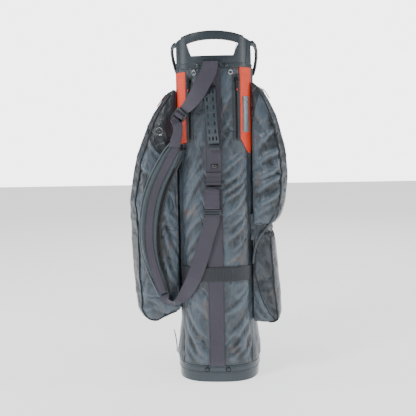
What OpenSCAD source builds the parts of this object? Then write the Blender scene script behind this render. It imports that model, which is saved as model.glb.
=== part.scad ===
// Free-standing golf cart bag with a shoulder strap, moulded top and moulded base.
// Origin: centre of the base's underside. +Z up, -Y towards the strap side.

/* [Trunk] */
// Half-width of the trunk (X)
trunk_hx = 106.5; // [104:0.5:109]
// Half-depth of the trunk (Y)
trunk_hy = 119.5; // [118:0.5:121]
// Squareness of the oval plan: 2 is an ellipse, higher is squarer
oval_n = 2.8; // [2.7:0.1:3]
// Thickness of the padded trunk wall
wall = 3; // [2:0.5:3.5]
// Height of the trunk fabric's upper edge
fabric_top = 857; // [850:1:862]

/* [Base] */
// Half-width of the moulded base
base_hx = 113; // [111:0.5:115]
// Half-depth of the moulded base
base_hy = 121; // [120:0.5:123]
// Height of the open part of the base below the band
base_h = 28; // [24:1:30]
// Height of the fabric's lower edge, at the top of the band
band_top = 44; // [42:1:46]

/* [Top] */
// Height of the collar's rim
rim_z = 868; // [866:1:870]
// Height of the rear handle's crown
crown_z = 952; // [946:1:956]
// Number of club rows from back to front
rows = 5; // [5:5]

/* [Side pockets] */
// Farthest reach of the left pocket from the centre plane
left_reach = 241; // [236:1:246]
// Farthest reach of the right pocket from the centre plane
right_reach = 196; // [192:1:200]
// Height of the left pocket's fullest point
left_full_z = 467; // [460:1:475]
// Height of the right pocket's fullest point
right_full_z = 566; // [560:1:572]

/* [Shoulder strap] */
// Width of the webbing at the top of the shoulder strap
web_w = 42; // [40:1:43]
// Thickness of the strap webbing
web_t = 2; // [1.6:0.2:2.2]
// Thickness of the shoulder pad
pad_t = 12; // [10:1:13]

/* [Hidden] */
$fn = 48;

gap = 0.3;                    // clearance between curved faces
round_fn = 32;                // sides of small round things
strip_step = 3;               // spacing in x of the points along a strip
bag_grey = [0.30, 0.36, 0.41];
web_violet = [0.33, 0.32, 0.38];
accent = [0.93, 0.36, 0.18];
dark = [0.14, 0.17, 0.19];
mould = [0.25, 0.31, 0.36];
silver = [0.72, 0.73, 0.74];
cord_red = [0.70, 0.16, 0.16];

// ---- plan curves -------------------------------------------------------

function oval(a, b, n = oval_n, count = 56) = [for (i = [0 : count - 1])
    let (c = cos(360 * i / count), s = sin(360 * i / count))
    [a * sign(c) * pow(abs(c), 2 / n), b * sign(s) * pow(abs(s), 2 / n)]];
function at_z(ring, z, y = 0) = [for (p = ring) [p[0], p[1] + y, z]];
// Point on the trunk's rear face at x, moved outwards by off
function back_y(x, hx, hy) = -hy * pow(1 - pow(abs(x) / hx, oval_n), 1 / oval_n);
function back_normal(x, hx = trunk_hx, hy = trunk_hy) = let (
    nx = sign(x) * pow(abs(x) / hx, oval_n - 1) / hx,
    ny = -pow(-back_y(x, hx, hy) / hy, oval_n - 1) / hy)
    [nx, ny] / norm([nx, ny]);
function back_pt(x, off, hx = trunk_hx, hy = trunk_hy) =
    [x, back_y(x, hx, hy)] + off * back_normal(x, hx, hy);
function back_turn(x) = atan2(back_normal(x)[0], -back_normal(x)[1]);
// Plan outline of a strip on the rear face, counter-clockwise from above
function strip_ring(xs, off, thick, hx = trunk_hx, hy = trunk_hy) = concat(
    [for (x = xs) back_pt(x, off + thick, hx, hy)],
    [for (i = [len(xs) - 1 : -1 : 0]) back_pt(xs[i], off, hx, hy)]);

// Closed solid through a stack of rings with equal point counts. The two halves of each ring
// are split along matching diagonals, so a thin twisted band keeps its thickness.
module loft(rings) {
    n = len(rings[0]);
    m = len(rings);
    polyhedron(
        points = [for (r = rings) each r],
        faces = concat(
            [[for (i = [0 : n - 1]) i]],
            [for (k = [0 : m - 2], i = [0 : n - 1]) let (
                    a = k * n + i,
                    b = a + n,
                    c = (k + 1) * n + (i + 1) % n,
                    d = c - n)
                each i < n / 2 ? [[a, b, c], [a, c, d]] : [[a, b, d], [b, c, d]]],
            [[for (i = [n - 1 : -1 : 0]) (m - 1) * n + i]]));
}

// Strip that follows the trunk's rear face between two x values
module back_strip(x0, x1, z0, z1, off, thick) {
    steps = ceil(abs(x1 - x0) / strip_step);
    xs = [for (i = [0 : steps]) x0 + (x1 - x0) * i / steps];
    translate([0, 0, z0])
        linear_extrude(z1 - z0)
            polygon(strip_ring(xs, off, thick));
}

module on_back(x, z, off) {
    p = back_pt(x, off);
    translate([p[0], p[1], z]) rotate([0, 0, back_turn(x)]) children();
}

module oval_prism(a, b, z0, z1) {
    translate([0, 0, z0]) linear_extrude(z1 - z0) polygon(oval(a, b));
}

module oval_ring(a, b, t, z0, z1) {
    difference() {
        oval_prism(a, b, z0, z1);
        oval_prism(a - t, b - t, z0 - 1, z1 + 1);
    }
}

// ---- base --------------------------------------------------------------

base_floor = 5;
base_wall = 4;
spigot_top = 62;              // top of the base wall inside the fabric
spigot_in = 3;                // step from the base's outer face to the spigot
rivet_x = 29;
rivet_r = 3;
band_z = (base_h + band_top) / 2;
stay_x = 73;
stay_y = 82;
stay_r = 4;
boss_r = 8.5;

module at_stays() {
    for (sx = [-1, 1], sy = [-1, 1]) translate([sx * stay_x, sy * stay_y, 0]) children();
}

module at_rivets() {
    for (side = [0, 180], sx = [-1, 1])
        rotate([0, 0, side]) translate([sx * rivet_x, 0, band_z]) rotate([90, 0, 0]) children();
}

module base_cup() {
    color(mould) difference() {
        union() {
            oval_ring(base_hx, base_hy, base_wall + spigot_in, 0, base_h);
            oval_ring(base_hx - spigot_in, base_hy - spigot_in, base_wall, base_h, spigot_top);
            oval_prism(base_hx - 5, base_hy - 5, 0, base_floor);
            intersection() {
                at_stays() cylinder(r = boss_r, h = 26);
                oval_prism(base_hx - 5, base_hy - 5, 0, spigot_top);
            }
        }
        at_stays() translate([0, 0, base_floor]) cylinder(r = stay_r + 0.1, h = 40);
        at_rivets() cylinder(r = rivet_r + 0.1, h = base_hy + 10);
    }
}

band_hx = base_hx + 2;
band_hy = base_hy + 2;

module base_band() {
    color(mould * 0.8) difference() {
        oval_ring(band_hx, band_hy, band_hx - base_hx + spigot_in - gap, base_h, band_top);
        at_rivets() cylinder(r = rivet_r + 0.1, h = base_hy + 10);
    }
}

module base_rivets() {
    rivet_len = base_wall + spigot_in + 2.4;
    color(mould * 1.2) at_rivets() {
        translate([0, 0, band_hy - rivet_len]) cylinder(r = rivet_r, h = rivet_len);
        translate([0, 0, band_hy]) cylinder(r1 = 5.5, r2 = 4.6, h = 1.6);
    }
}

// ---- stays, trunk and dividers -----------------------------------------

skirt_hx = trunk_hx - wall - gap;
skirt_hy = trunk_hy - wall - gap;
skirt_t = 3.5;
skirt_bottom = 824;

module stay_rods() {
    color("dimgray") at_stays() translate([0, 0, base_floor + 0.2])
        cylinder(r = stay_r, h = skirt_bottom + 20 - base_floor);
}

// Half-sizes of the trunk at a height: flared over the base, straight above
trunk_plan = [
    [band_top + 0.2, 113.6, 121.6], [58, 118.5, 123.4], [80, 117, 122.4],
    [120, 111, 120.4], [160, trunk_hx, trunk_hy], [fabric_top, trunk_hx, trunk_hy]];

module trunk_form(grow) {
    loft([for (s = trunk_plan) at_z(oval(s[1] + grow, s[2] + grow), s[0])]);
}

module trunk_shell() {
    color(bag_grey) difference() {
        trunk_form(0);
        translate([0, 0, -0.1]) trunk_form(-wall);
        oval_prism(trunk_hx - wall, trunk_hy - wall, fabric_top - 20, fabric_top + 1);
    }
}

cell_hx = skirt_hx - skirt_t - 1;
cell_hy = skirt_hy - skirt_t - 1;
row_pitch = 2 * cell_hy / rows;
col_pitch = 2 * cell_hx / 3;

// Club dividers: four walls across, then two walls per row (one in the rear row)
module divider_walls(z0, z1, thick) {
    half = thick / 2;
    intersection() {
        oval_prism(cell_hx, cell_hy, z0, z1);
        union() {
            for (r = [1 : rows - 1])
                translate([-cell_hx, -cell_hy + r * row_pitch - half, z0])
                    cube([2 * cell_hx, thick, z1 - z0]);
            for (r = [0 : rows - 1], x = r == 0 ? [0] : [-col_pitch / 2, col_pitch / 2]) {
                low = r == 0 ? 0 : half + 0.1;
                high = r == rows - 1 ? 0 : half + 0.1;
                translate([x - half, -cell_hy + r * row_pitch + low, z0])
                    cube([thick, row_pitch - low - high, z1 - z0]);
            }
        }
    }
}

divider_top_z = 822;

module divider_panels() {
    color(dark) divider_walls(base_floor + 24, divider_top_z - 0.2, 1.6);
}

module divider_top() {
    color(dark * 1.3) divider_walls(divider_top_z, rim_z - 2, 3);
}

// ---- collar, rear handle and rails --------------------------------------

collar_hx = 104.5;
collar_hy = 118;
plate_z = 887;                // top edge of the plate below the hand opening
plate_x = 56;                 // half-width of the hand opening at that edge
handle_t = 19;                // depth of the rear handle, front to back
handle_base = rim_z + 0.2;
arch_end_z = 934;
arch_under = 22;              // depth of the arch bar at its crown
grip_t = 3;
screw_x = 38;
screw_z = 861;

module top_collar() {
    color(mould) difference() {
        union() {
            oval_ring(collar_hx, collar_hy, collar_hx - skirt_hx + skirt_t, fabric_top + 0.2, rim_z);
            oval_ring(skirt_hx, skirt_hy, skirt_t, skirt_bottom, fabric_top + 1);
            intersection() {
                at_stays() translate([0, 0, skirt_bottom]) cylinder(r = boss_r, h = 28);
                oval_prism(skirt_hx, skirt_hy, skirt_bottom, rim_z);
            }
        }
        at_stays() translate([0, 0, skirt_bottom - 1]) cylinder(r = stay_r + 0.1, h = 23);
        for (sx = [-1, 1]) on_back(sx * screw_x, screw_z, -20)
            rotate([90, 0, 0]) cylinder(r = 2.1, h = 30);
    }
}

function arch_z(x, drop) = crown_z - drop - (crown_z - arch_end_z) * pow(abs(x) / 98, 2);

// Elevation of the rear handle: plate, two uprights and an arched bar
module handle_outline(top_drop) {
    xs = [for (i = [-12 : 12]) 103 * i / 12];
    hole_top = [for (i = [6 : -1 : -6]) [70 * i / 6, arch_z(70 * i / 6, arch_under)]];
    difference() {
        polygon(concat([[-103, handle_base], [103, handle_base]],
            [for (i = [24 : -1 : 0]) [xs[i], arch_z(xs[i], top_drop)]]));
        polygon(concat([[-plate_x, plate_z], [plate_x, plate_z]], hole_top));
    }
}

module handle_wall(z0, z1) {
    intersection() {
        oval_ring(collar_hx, collar_hy, handle_t, z0, z1);
        rotate([90, 0, 90]) translate([0, 0, -120]) linear_extrude(240)
            polygon([[-130, z0], [-24, z0], [-40, 905], [-52, z1], [-130, z1]]);
    }
}

module rear_handle() {
    color(mould) intersection() {
        handle_wall(handle_base, crown_z);
        translate([0, 1, 0]) rotate([90, 0, 0]) linear_extrude(140) handle_outline(grip_t);
    }
}

module handle_grip() {
    xs = [for (i = [-10 : 10]) 8.4 * i];
    color(dark) intersection() {
        handle_wall(handle_base, crown_z);
        translate([0, 1, 0]) rotate([90, 0, 0]) linear_extrude(140)
            polygon(concat([for (x = xs) [x, arch_z(x, grip_t) + 0.01]],
                [for (i = [20 : -1 : 0]) [xs[i], arch_z(xs[i], 0)]]));
    }
}

// Centreline of the left side rail, from the handle's shoulder down to the collar's side
rail_path = [[-98, -46, 924], [-108, -40, 923], [-114, -26, 918], [-117, -4, 906],
    [-117, 20, 889], [-113.5, 42, 868], [-108, 54, 850], [-100, 58, 843]];
rail_w = 9;
rail_h = 17;

// Solid swept along a path with an oval section; the section's width lies near X
module rail_sweep(path, w, h) {
    last = len(path) - 1;
    sides = 12;
    loft([for (k = [0 : last]) let (
            t0 = path[min(k + 1, last)] - path[max(k - 1, 0)],
            t = t0 / norm(t0),
            u0 = cross([0, 0.45, 0.9], t),
            u = u0 / norm(u0),
            v = cross(t, u))
        [for (i = [0 : sides - 1]) path[k] + u * cos(360 * i / sides) * w / 2
            + v * sin(360 * i / sides) * h / 2]]);
}

module side_rail() {
    difference() {
        rail_sweep(rail_path, rail_w, rail_h);
        oval_prism(collar_hx + 0.2, collar_hy + 0.2, 820, 960);
        oval_prism(trunk_hx + 0.2, trunk_hy + 0.2, 800, fabric_top + 0.4);
    }
}

module side_rail_left() {
    color(mould) side_rail();
}

module side_rail_right() {
    color(mould) mirror([1, 0, 0]) side_rail();
}

module collar_screws() {
    color(silver * 0.7) for (sx = [-1, 1]) on_back(sx * screw_x, screw_z, 0)
        rotate([90, 0, 0]) {
            translate([0, 0, -8]) cylinder(r = 2, h = 8);
            cylinder(r1 = 5, r2 = 4, h = 1.8);
        }
}

module hood_eyelets() {
    color(silver) for (sx = [-1, 1]) on_back(sx * 48, 843, 0.9)
        rotate([90, 0, 0]) difference() {
            cylinder(r1 = 7.6, r2 = 6.6, h = 1.6);
            translate([0, 0, -1]) cylinder(r = 3.4, h = 4);
        }
}

// ---- webbing, tapes and handle on the rear face --------------------------

spine_hw = 21.5;
tape_t = 1.4;
spine_front = trunk_hy + gap + tape_t;

module spine_webbing() {
    xs = [for (i = [-3 : 3]) spine_hw * i / 3];
    color(web_violet) loft([for (s = trunk_plan)
        at_z(strip_ring(xs, gap, tape_t, s[1], s[2]), s[0])]);
}

module cart_strap_band() {
    color(dark) back_strip(-92, 92, 281, 321, 2 * gap + tape_t, 1.6);
}

grab_w = 30;
grab_z0 = 655;
grab_z1 = 805;
grab_mid = (grab_z0 + grab_z1) / 2;
grab_t = 6;
grab_rise = 17;               // finger room behind the handle
grab_y = -spine_front - gap;

module grab_slot(x, z) {
    translate([x, 0, z]) rotate([90, 0, 0]) linear_extrude(60)
        for (dz = [-3.5, 3.5]) translate([0, dz]) circle(r = 2.1, $fn = 16);
    translate([x - 2.1, -60, z - 3.5]) cube([4.2, 60, 7]);
}

module grab_handle() {
    steps = 16;
    half = (grab_z1 - grab_z0) / 2;
    bow = [for (i = [0 : steps]) let (s = -1 + 2 * i / steps)
        [-grab_rise * (1 - pow(abs(s), 4)), s * half]];
    color(mould) translate([-3, grab_y, grab_mid]) rotate([0, -3, 0]) difference() {
        rotate([90, 0, 90]) translate([0, 0, -grab_w / 2]) linear_extrude(grab_w)
            polygon(concat(bow, [for (i = [steps : -1 : 0]) bow[i] - [grab_t, 0]]));
        for (sz = [-1, 1], x = [-9, 0, 9]) grab_slot(x, sz * (half - 14));
        for (row = [-2 : 2], sx = [-8, 8]) grab_slot(sx, row * 21);
    }
}

module grab_handle_keeper() {
    color(dark) difference() {
        translate([-11, grab_y - 7, 638]) cube([28, 7 - gap, 15]);
        translate([-8, grab_y - 4.5, 646]) cube([22, 2, 12]);
    }
}

module blank_patch() {
    color(dark) translate([-9, grab_y - 1, 588]) cube([20, 1, 13]);
}

accent_x0 = 71;
accent_x1 = 100;
accent_off = 2 * gap;

module accent_tape_right() {
    color(accent) difference() {
        back_strip(accent_x0, accent_x1, 632, fabric_top, accent_off, tape_t);
        rotate([90, 0, 0]) linear_extrude(140)
            polygon([[60, 673], [97, 631], [104, 646], [120, 646], [120, 600], [60, 600]]);
    }
}

module accent_tape_left() {
    color(accent) back_strip(-accent_x1, -accent_x0, 655, fabric_top - 10, accent_off, tape_t);
}

module accent_label() {
    color(silver * 0.8) back_strip(78, 93, 684, 780, accent_off + tape_t + 0.1, 0.8);
}

// ---- zips ----------------------------------------------------------------

zip_w = 9;                    // slider body
zip_l = 14;
zip_h = 3.4;
pin_out = 5.6;                // pull's pivot, out from the tape
pull_w = 6;
pull_t = 2;
slide_gap = 0.4;

// Slider with two ears and a cross pin. It stands on y = 0, outwards is -Y, runs along Z
module zip_slider(along_x) {
    color(dark) {
        translate([0, -zip_h / 2 - slide_gap, 0])
            cube(along_x ? [zip_l, zip_h, zip_w] : [zip_w, zip_h, zip_l], center = true);
        for (sx = [-1, 1])
            translate([sx * 3.7 - 0.7, -pin_out - 1.6, -1.6]) cube([1.4, 4.4, 3.2]);
        translate([-3.2, -pin_out, 0]) rotate([0, 90, 0]) cylinder(r = 0.8, h = 6.4, $fn = round_fn);
    }
}

// Pull hung from the cross pin, its tab pointing down
module zip_pull(length, tint) {
    color(tint) difference() {
        union() {
            translate([-2.6, -pin_out, 0]) rotate([0, 90, 0])
                cylinder(r = 1.65, h = 5.2, $fn = round_fn);
            translate([-2.6, -pin_out - pull_t / 2, -5]) cube([5.2, pull_t, 4]);
            translate([-pull_w / 2, -pin_out - pull_t / 2, -length])
                cube([pull_w, pull_t, length - 4]);
        }
        translate([-3, -pin_out, 0]) rotate([0, 90, 0])
            cylinder(r = 1.05, h = 6, $fn = round_fn);
    }
}

rear_zip_x = 61.5;
rear_zip_low = 664;
rear_zip_high = 836;
rear_zip_rest = 822;
rear_zip_off = gap + tape_t;

module at_rear_zip(side) {
    on_back(side * rear_zip_x, rear_zip_rest, rear_zip_off) children();
}

module rear_zip_tapes() {
    color(dark * 1.6) for (side = [-1, 1]) on_back(side * rear_zip_x, rear_zip_low, gap + 0.35)
        translate([-8, -tape_t + 0.3, 0]) cube([16, tape_t - 0.4, rear_zip_high - rear_zip_low]);
}

module rear_zip_slider_left() {
    at_rear_zip(-1) zip_slider(false);
}

module rear_zip_slider_right() {
    at_rear_zip(1) zip_slider(false);
}

module rear_zip_pull_left() {
    at_rear_zip(-1) zip_pull(28, dark);
}

module rear_zip_pull_right() {
    at_rear_zip(1) zip_pull(28, dark);
}

// ---- side pockets --------------------------------------------------------

pocket_in = 88;               // inner edge, inside the trunk
pocket_top = 812;
pocket_floor = 150;
// Circular sweep of each pocket's outer edge: reach at the top and the arc's radius
function arc_radius(reach, top_x, rise) = (rise * rise + pow(reach - top_x, 2)) / (2 * (reach - top_x));
left_r = arc_radius(left_reach, 121, 800 - left_full_z);
right_r = arc_radius(right_reach, 119, pocket_top - right_full_z);
function edge_x(reach, r, full_z, z) = reach - r + sqrt(r * r - pow(z - full_z, 2));

left_corner_r = 55;
left_outline = concat(
    [[pocket_in, 822], [108, pocket_top]],
    [for (i = [0 : 9]) let (z = 800 - (800 - left_full_z) * i / 9)
        [edge_x(left_reach, left_r, left_full_z, z), z]],
    [for (z = [390, 300, 215]) [left_reach - 10 * pow((left_full_z - z) / 250, 2), z]],
    [for (a = [15 : 15 : 90]) [176 + left_corner_r * cos(a), 205 - left_corner_r * sin(a)]],
    [[140, 166], [pocket_in, 186]]);

right_outline = concat(
    [[pocket_in, 832], [106, 826]],
    [for (i = [0 : 9]) let (z = pocket_top - (pocket_top - 452) * i / 9)
        [edge_x(right_reach, right_r, right_full_z, z), z]],
    [[162, 426], [pocket_in, 418]]);
right_low_outline = [[pocket_in, 414], [150, 414], [160, 400], [169, 286], [178, 172],
    [176, 157], [166, 150], [pocket_in, 152]];

// Depth stations of a side pocket: y, then how far the outline reaches in X and Z
pocket_depth = [[-84, 0.86, 0.965], [-77, 0.92, 0.98], [-50, 0.975, 0.995], [-22, 1, 1],
    [14, 1, 1], [42, 0.975, 0.995], [66, 0.92, 0.98], [72, 0.86, 0.965]];
left_mid = 486;
right_mid = 625;
right_low_mid = 282;

function pocket_ring(outline, mid, s) = [for (p = outline)
    [pocket_in + (p[0] - pocket_in) * s[1], s[0], mid + (p[1] - mid) * s[2]]];

tape_room = 4;                // room for the tapes that run in under the rear edge
tape_room_y = -58;

module side_pocket(outline, mid) {
    difference() {
        loft([for (s = pocket_depth) pocket_ring(outline, mid, s)]);
        trunk_form(gap);
        intersection() {
            oval_prism(trunk_hx + tape_room, trunk_hy + tape_room, 100, fabric_top);
            translate([-150, tape_room_y - 100, 100]) cube([300, 100, fabric_top]);
        }
    }
}

module left_pocket() {
    color(bag_grey) mirror([1, 0, 0]) side_pocket(left_outline, left_mid);
}

module right_pocket() {
    color(bag_grey) side_pocket(right_outline, right_mid);
}

module right_low_pocket() {
    color(bag_grey) side_pocket(right_low_outline, right_low_mid);
}

// Cord sewn round the pocket's two edges, swept with eight sides
piping_r = 2.2;

module piping_tube(path) {
    last = len(path) - 1;
    loft([for (k = [0 : last]) let (
            t0 = path[min(k + 1, last)] - path[max(k - 1, 0)],
            t = t0 / norm(t0),
            u = cross([0, 1, 0], t))
        [for (i = [0 : 7]) path[k] + piping_r * (u * cos(45 * i) + cross(t, u) * sin(45 * i))]]);
}

// Where each piping lies on the rounded edge, and how far it stands off
piping_seats = [[-80.5, 0.89, 0.9725], [69, 0.89, 0.9725]];
piping_off = 1.9;
piping_off_y = 2.3;

module pocket_piping(outline, mid, first, last) {
    for (s = piping_seats) {
        ring = pocket_ring(outline, mid, s);
        piping_tube([for (k = [first : last]) let (
                t = ring[k + 1] - ring[k - 1],
                n = [-t[2], 0, t[0]] / norm(t))
            ring[k] + n * piping_off + [0, sign(s[0]) * piping_off_y, 0]]);
    }
}

module left_pocket_piping() {
    color(dark) mirror([1, 0, 0]) pocket_piping(left_outline, left_mid, 2, 19);
}

module right_pocket_piping() {
    color(dark) {
        pocket_piping(right_outline, right_mid, 2, 11);
        pocket_piping(right_low_outline, right_low_mid, 2, 5);
    }
}

// Zip along the pocket's outer edge, on the same arc
zip_y = -4;
zip_tape_w = 24;
zip_tape_t = 1.2;
tape_out = 1;                 // tape's clearance from the pocket's flats

module arc_zip(reach, r, full_z, z_high, z_low) {
    steps = 18;
    zs = [for (i = [0 : steps]) z_high + (z_low - z_high) * i / steps];
    translate([0, zip_y + zip_tape_w / 2, 0]) rotate([90, 0, 0]) linear_extrude(zip_tape_w)
        polygon(concat(
            [for (z = zs) [edge_x(reach + tape_out, r + tape_out, full_z, z), z]],
            [for (i = [steps : -1 : 0])
                [edge_x(reach + tape_out + zip_tape_t, r + tape_out + zip_tape_t, full_z, zs[i]),
                    zs[i]]]));
}

module left_pocket_zip() {
    color(dark) mirror([1, 0, 0]) arc_zip(left_reach, left_r, left_full_z, 796, 474);
}

module right_pocket_zip() {
    color(dark) arc_zip(right_reach, right_r, right_full_z, 808, 470);
}

left_rest = 786;              // height of each slider with its zip closed
right_rest = 796;

// Places a slider or pull on the pocket's arc at a height
module on_arc(reach, r, full_z, z) {
    lift = asin((z - full_z) / r);
    translate([reach - r, zip_y, full_z]) rotate([0, -lift, 0])
        translate([r + tape_out + zip_tape_t, 0, 0]) rotate([0, 0, 90]) children();
}

module left_pocket_slider() {
    mirror([1, 0, 0]) on_arc(left_reach, left_r, left_full_z, left_rest) zip_slider(false);
}

module right_pocket_slider() {
    on_arc(right_reach, right_r, right_full_z, right_rest) zip_slider(false);
}

module left_pocket_pull() {
    mirror([1, 0, 0]) on_arc(left_reach, left_r, left_full_z, left_rest) zip_pull(40, cord_red);
}

module right_pocket_pull() {
    on_arc(right_reach, right_r, right_full_z, right_rest) zip_pull(30, cord_red);
}

// ---- front pockets -------------------------------------------------------

front_c = 100;                // y of the pockets' centre line, inside the trunk
front_n = 4;
// Each front pocket: bottom, top, half-width, reach in y from the centre line, back face's y
valuables = [592, 792, 78, 68, 120];
cooler = [346, 578, 84, 92, 120];
ball = [104, 332, 90, 108, 121.8];
face_cut = 5;                 // flat face that carries the zip

module front_pocket(p) {
    z0 = p[0];
    z1 = p[1];
    stations = [[z0, 0.8], [z0 + 10, 0.94], [z0 + 28, 1], [z1 - 36, 1], [z1 - 12, 0.95], [z1, 0.84]];
    difference() {
        loft([for (s = stations) at_z(oval(p[2] * s[1], p[3] * s[1], front_n, 40), s[0], front_c)]);
        translate([-100, -100, z0 - 1]) cube([200, 100 + p[4], z1 - z0 + 2]);
        translate([-100, front_c + p[3] - face_cut, z0 - 1]) cube([200, 20, z1 - z0 + 2]);
    }
}

module valuables_pocket() {
    color(bag_grey) front_pocket(valuables);
}

module cooler_pocket() {
    color(bag_grey) front_pocket(cooler);
}

module ball_pocket() {
    color(bag_grey) front_pocket(ball);
}

front_zip_drop = 58;          // zip line below the pocket's top
front_zip_half = 56;

module at_front_zip(p, x) {
    translate([x, front_c + p[3] - face_cut + 0.2 + zip_tape_t, p[1] - front_zip_drop])
        rotate([0, 0, 180]) children();
}

module front_zip_tapes() {
    color(dark) for (p = [valuables, cooler, ball])
        translate([-front_zip_half - 6, front_c + p[3] - face_cut + 0.2, p[1] - front_zip_drop - 11])
            cube([2 * front_zip_half + 12, zip_tape_t, 22]);
}

module valuables_slider() {
    at_front_zip(valuables, -front_zip_half) zip_slider(true);
}

module cooler_slider() {
    at_front_zip(cooler, -front_zip_half) zip_slider(true);
}

module ball_slider() {
    at_front_zip(ball, -front_zip_half) zip_slider(true);
}

module valuables_pull() {
    at_front_zip(valuables, -front_zip_half) zip_pull(34, cord_red);
}

module cooler_pull() {
    at_front_zip(cooler, -front_zip_half) zip_pull(34, cord_red);
}

module ball_pull() {
    at_front_zip(ball, -front_zip_half) zip_pull(34, cord_red);
}

// ---- shoulder strap ------------------------------------------------------

bar_y = -130;
bar_z = 866;
bar_r = 3;

module strap_top_bar() {
    color(dark) difference() {
        union() {
            for (sx = [-1, 1]) translate([sx * 24.5 - 2, bar_y - 4, bar_z - 6]) cube([4, 14.5, 11]);
            translate([-26, bar_y, bar_z]) rotate([0, 90, 0]) cylinder(r = bar_r, h = 52);
        }
        oval_prism(trunk_hx + gap, trunk_hy + gap, 800, fabric_top + 0.3);
        oval_prism(collar_hx + 0.2, collar_hy + 0.2, 800, 960);
    }
}

fold_in = bar_r + gap;
fold_out = fold_in + web_t;

// Webbing turned over the top bar, with both legs down
module strap_top_fold() {
    color(web_violet) translate([-web_w / 2, bar_y, bar_z]) rotate([90, 0, 90])
        linear_extrude(web_w)
            polygon(concat(
                [for (a = [0 : 15 : 180]) fold_out * [cos(a), sin(a)]],
                [[-fold_out, -28], [-fold_in, -28]],
                [for (a = [180 : -15 : 0]) fold_in * [cos(a), sin(a)]],
                [[fold_in, -6], [fold_out, -6]]));
}

// Flat band swept along a route. Each row is a point, the direction of the band's width
// and the width itself.
module ribbon(route, thick) {
    last = len(route) - 1;
    loft([for (k = [0 : last]) let (
            t0 = route[min(k + 1, last)][0] - route[max(k - 1, 0)][0],
            t = t0 / norm(t0),
            w0 = route[k][1] - t * (route[k][1] * t),
            w = w0 / norm(w0),
            n = cross(w, t),
            p = route[k][0],
            half = route[k][2] / 2)
        [p - w * half - n * thick / 2, p + w * half - n * thick / 2,
            p + w * half + n * thick / 2, p - w * half + n * thick / 2]]);
}

upper_route = [
    [[-23, -141, 815], [0.87, 0, -0.5], 42],
    [[-38, -141, 789], [0.84, -0.1, -0.54], 40],
    [[-58, -133, 763], [0.78, -0.2, -0.6], 34],
    [[-73, -123, 747], [0.78, -0.2, -0.6], 28]];

buckle_at = [-89, -117, 731];
tail_route = [
    [[-95, -124, 722], [0.9, -0.2, -0.35], 26],
    [[-92, -124, 706], [0.98, -0.15, 0], 26],
    [[-94, -121, 684], [0.98, -0.15, 0.1], 26],
    [[-102, -117, 662], [0.95, -0.1, 0.25], 26]];

pad_route = [
    [[-99, -104, 650], [0.85, -0.1, 0.5], 42],
    [[-114, -101, 625], [0.85, -0.1, 0.5], 53],
    [[-137, -97, 585], [0.88, 0, 0.45], 57],
    [[-157, -95, 543], [0.92, 0, 0.38], 58],
    [[-173, -95, 492], [0.97, 0, 0.22], 59],
    [[-182, -95, 429], [1, 0, 0.05], 57],
    [[-181, -95, 368], [0.99, 0, -0.12], 53],
    [[-168, -96, 308], [0.95, 0, -0.3], 45],
    [[-147, -98, 243], [0.93, 0, -0.36], 31]];

lower_route = [
    [[-143, -99, 233], [0.85, -0.1, 0.4], 30],
    [[-131, -104, 222], [0.3, -0.75, 0.55], 32],
    [[-112, -110, 221], [-0.15, -0.85, 0.5], 34],
    [[-94, -115, 235], [-0.55, -0.6, 0.5], 36],
    [[-76, -121, 262], [-0.8, -0.2, 0.45], 38],
    [[-55, -126, 304], [-0.88, 0, 0.4], 40],
    [[-36, -128, 356], [-0.93, 0, 0.3], 40],
    [[-27, -129, 390], [-0.97, 0, 0.2], 40]];

link_x = -6;
link_y = -130;
link_route = [
    [[-24, -129, 396], [1, 0, -0.2], 40],
    [[-15, -129.5, 425], [1, 0, -0.2], 40],
    [[link_x, link_y, 450], [1, 0, 0], 41],
    [[link_x, link_y, 534], [1, 0, 0], 41]];

module strap_upper_web() {
    color(web_violet) ribbon(upper_route, web_t);
}

// Ladder buckle: frame with a middle bar
module strap_buckle() {
    color(dark) translate(buckle_at) rotate([0, 38, -14]) difference() {
        translate([-17.5, -3, -16]) cube([35, 6, 32]);
        for (z = [-10.5, 2.5]) translate([-13.5, -4, z]) cube([27, 8, 8]);
    }
}

module strap_web_tail() {
    color(web_violet) ribbon(tail_route, web_t);
}

module strap_pad() {
    color(bag_grey * 1.2) ribbon(pad_route, pad_t);
}

stripe_t = 1.4;
stripe_w = 23;

module strap_pad_stripe() {
    lift = pad_t / 2 + stripe_t / 2 + 4 * gap;
    color(web_violet) ribbon(
        [for (r = pad_route) [r[0] - [0, lift, 0], r[1], stripe_w]], stripe_t);
}

module strap_lower_web() {
    color(web_violet) ribbon(lower_route, web_t);
}

module strap_link_web() {
    color(web_violet) ribbon(link_route, web_t);
}

glide_z = 472;

// Tri-glide: a frame that the webbing runs through, with a bar across its face
module tri_glide() {
    color(dark) translate([link_x, link_y, glide_z]) difference() {
        translate([-24, -4.2, -8]) cube([48, 8.4, 16]);
        translate([-21, -1.6, -9]) cube([42, 3.2, 18]);
        for (z = [-5.6, 1.4]) translate([-20, -5, z]) cube([40, 3.2, 4.2]);
    }
}

module strap_lower_ring() {
    color(dark) translate([-1, link_y, 544]) difference() {
        translate([-25, -2.5, -7.5]) cube([50, 5, 15]);
        translate([-21.5, -3, -4]) cube([43, 6, 8]);
    }
}

module umbrella_tab() {
    color(dark) ribbon([
        [[-121.5, -30, 58], [0, 1, 0], 9],
        [[-121.5, -30, 80], [0, 1, 0], 9],
        [[-124, -31, 102], [0, 1, 0], 7],
        [[-128, -32, 124], [0, 1, 0], 4]], 2);
}

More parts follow.
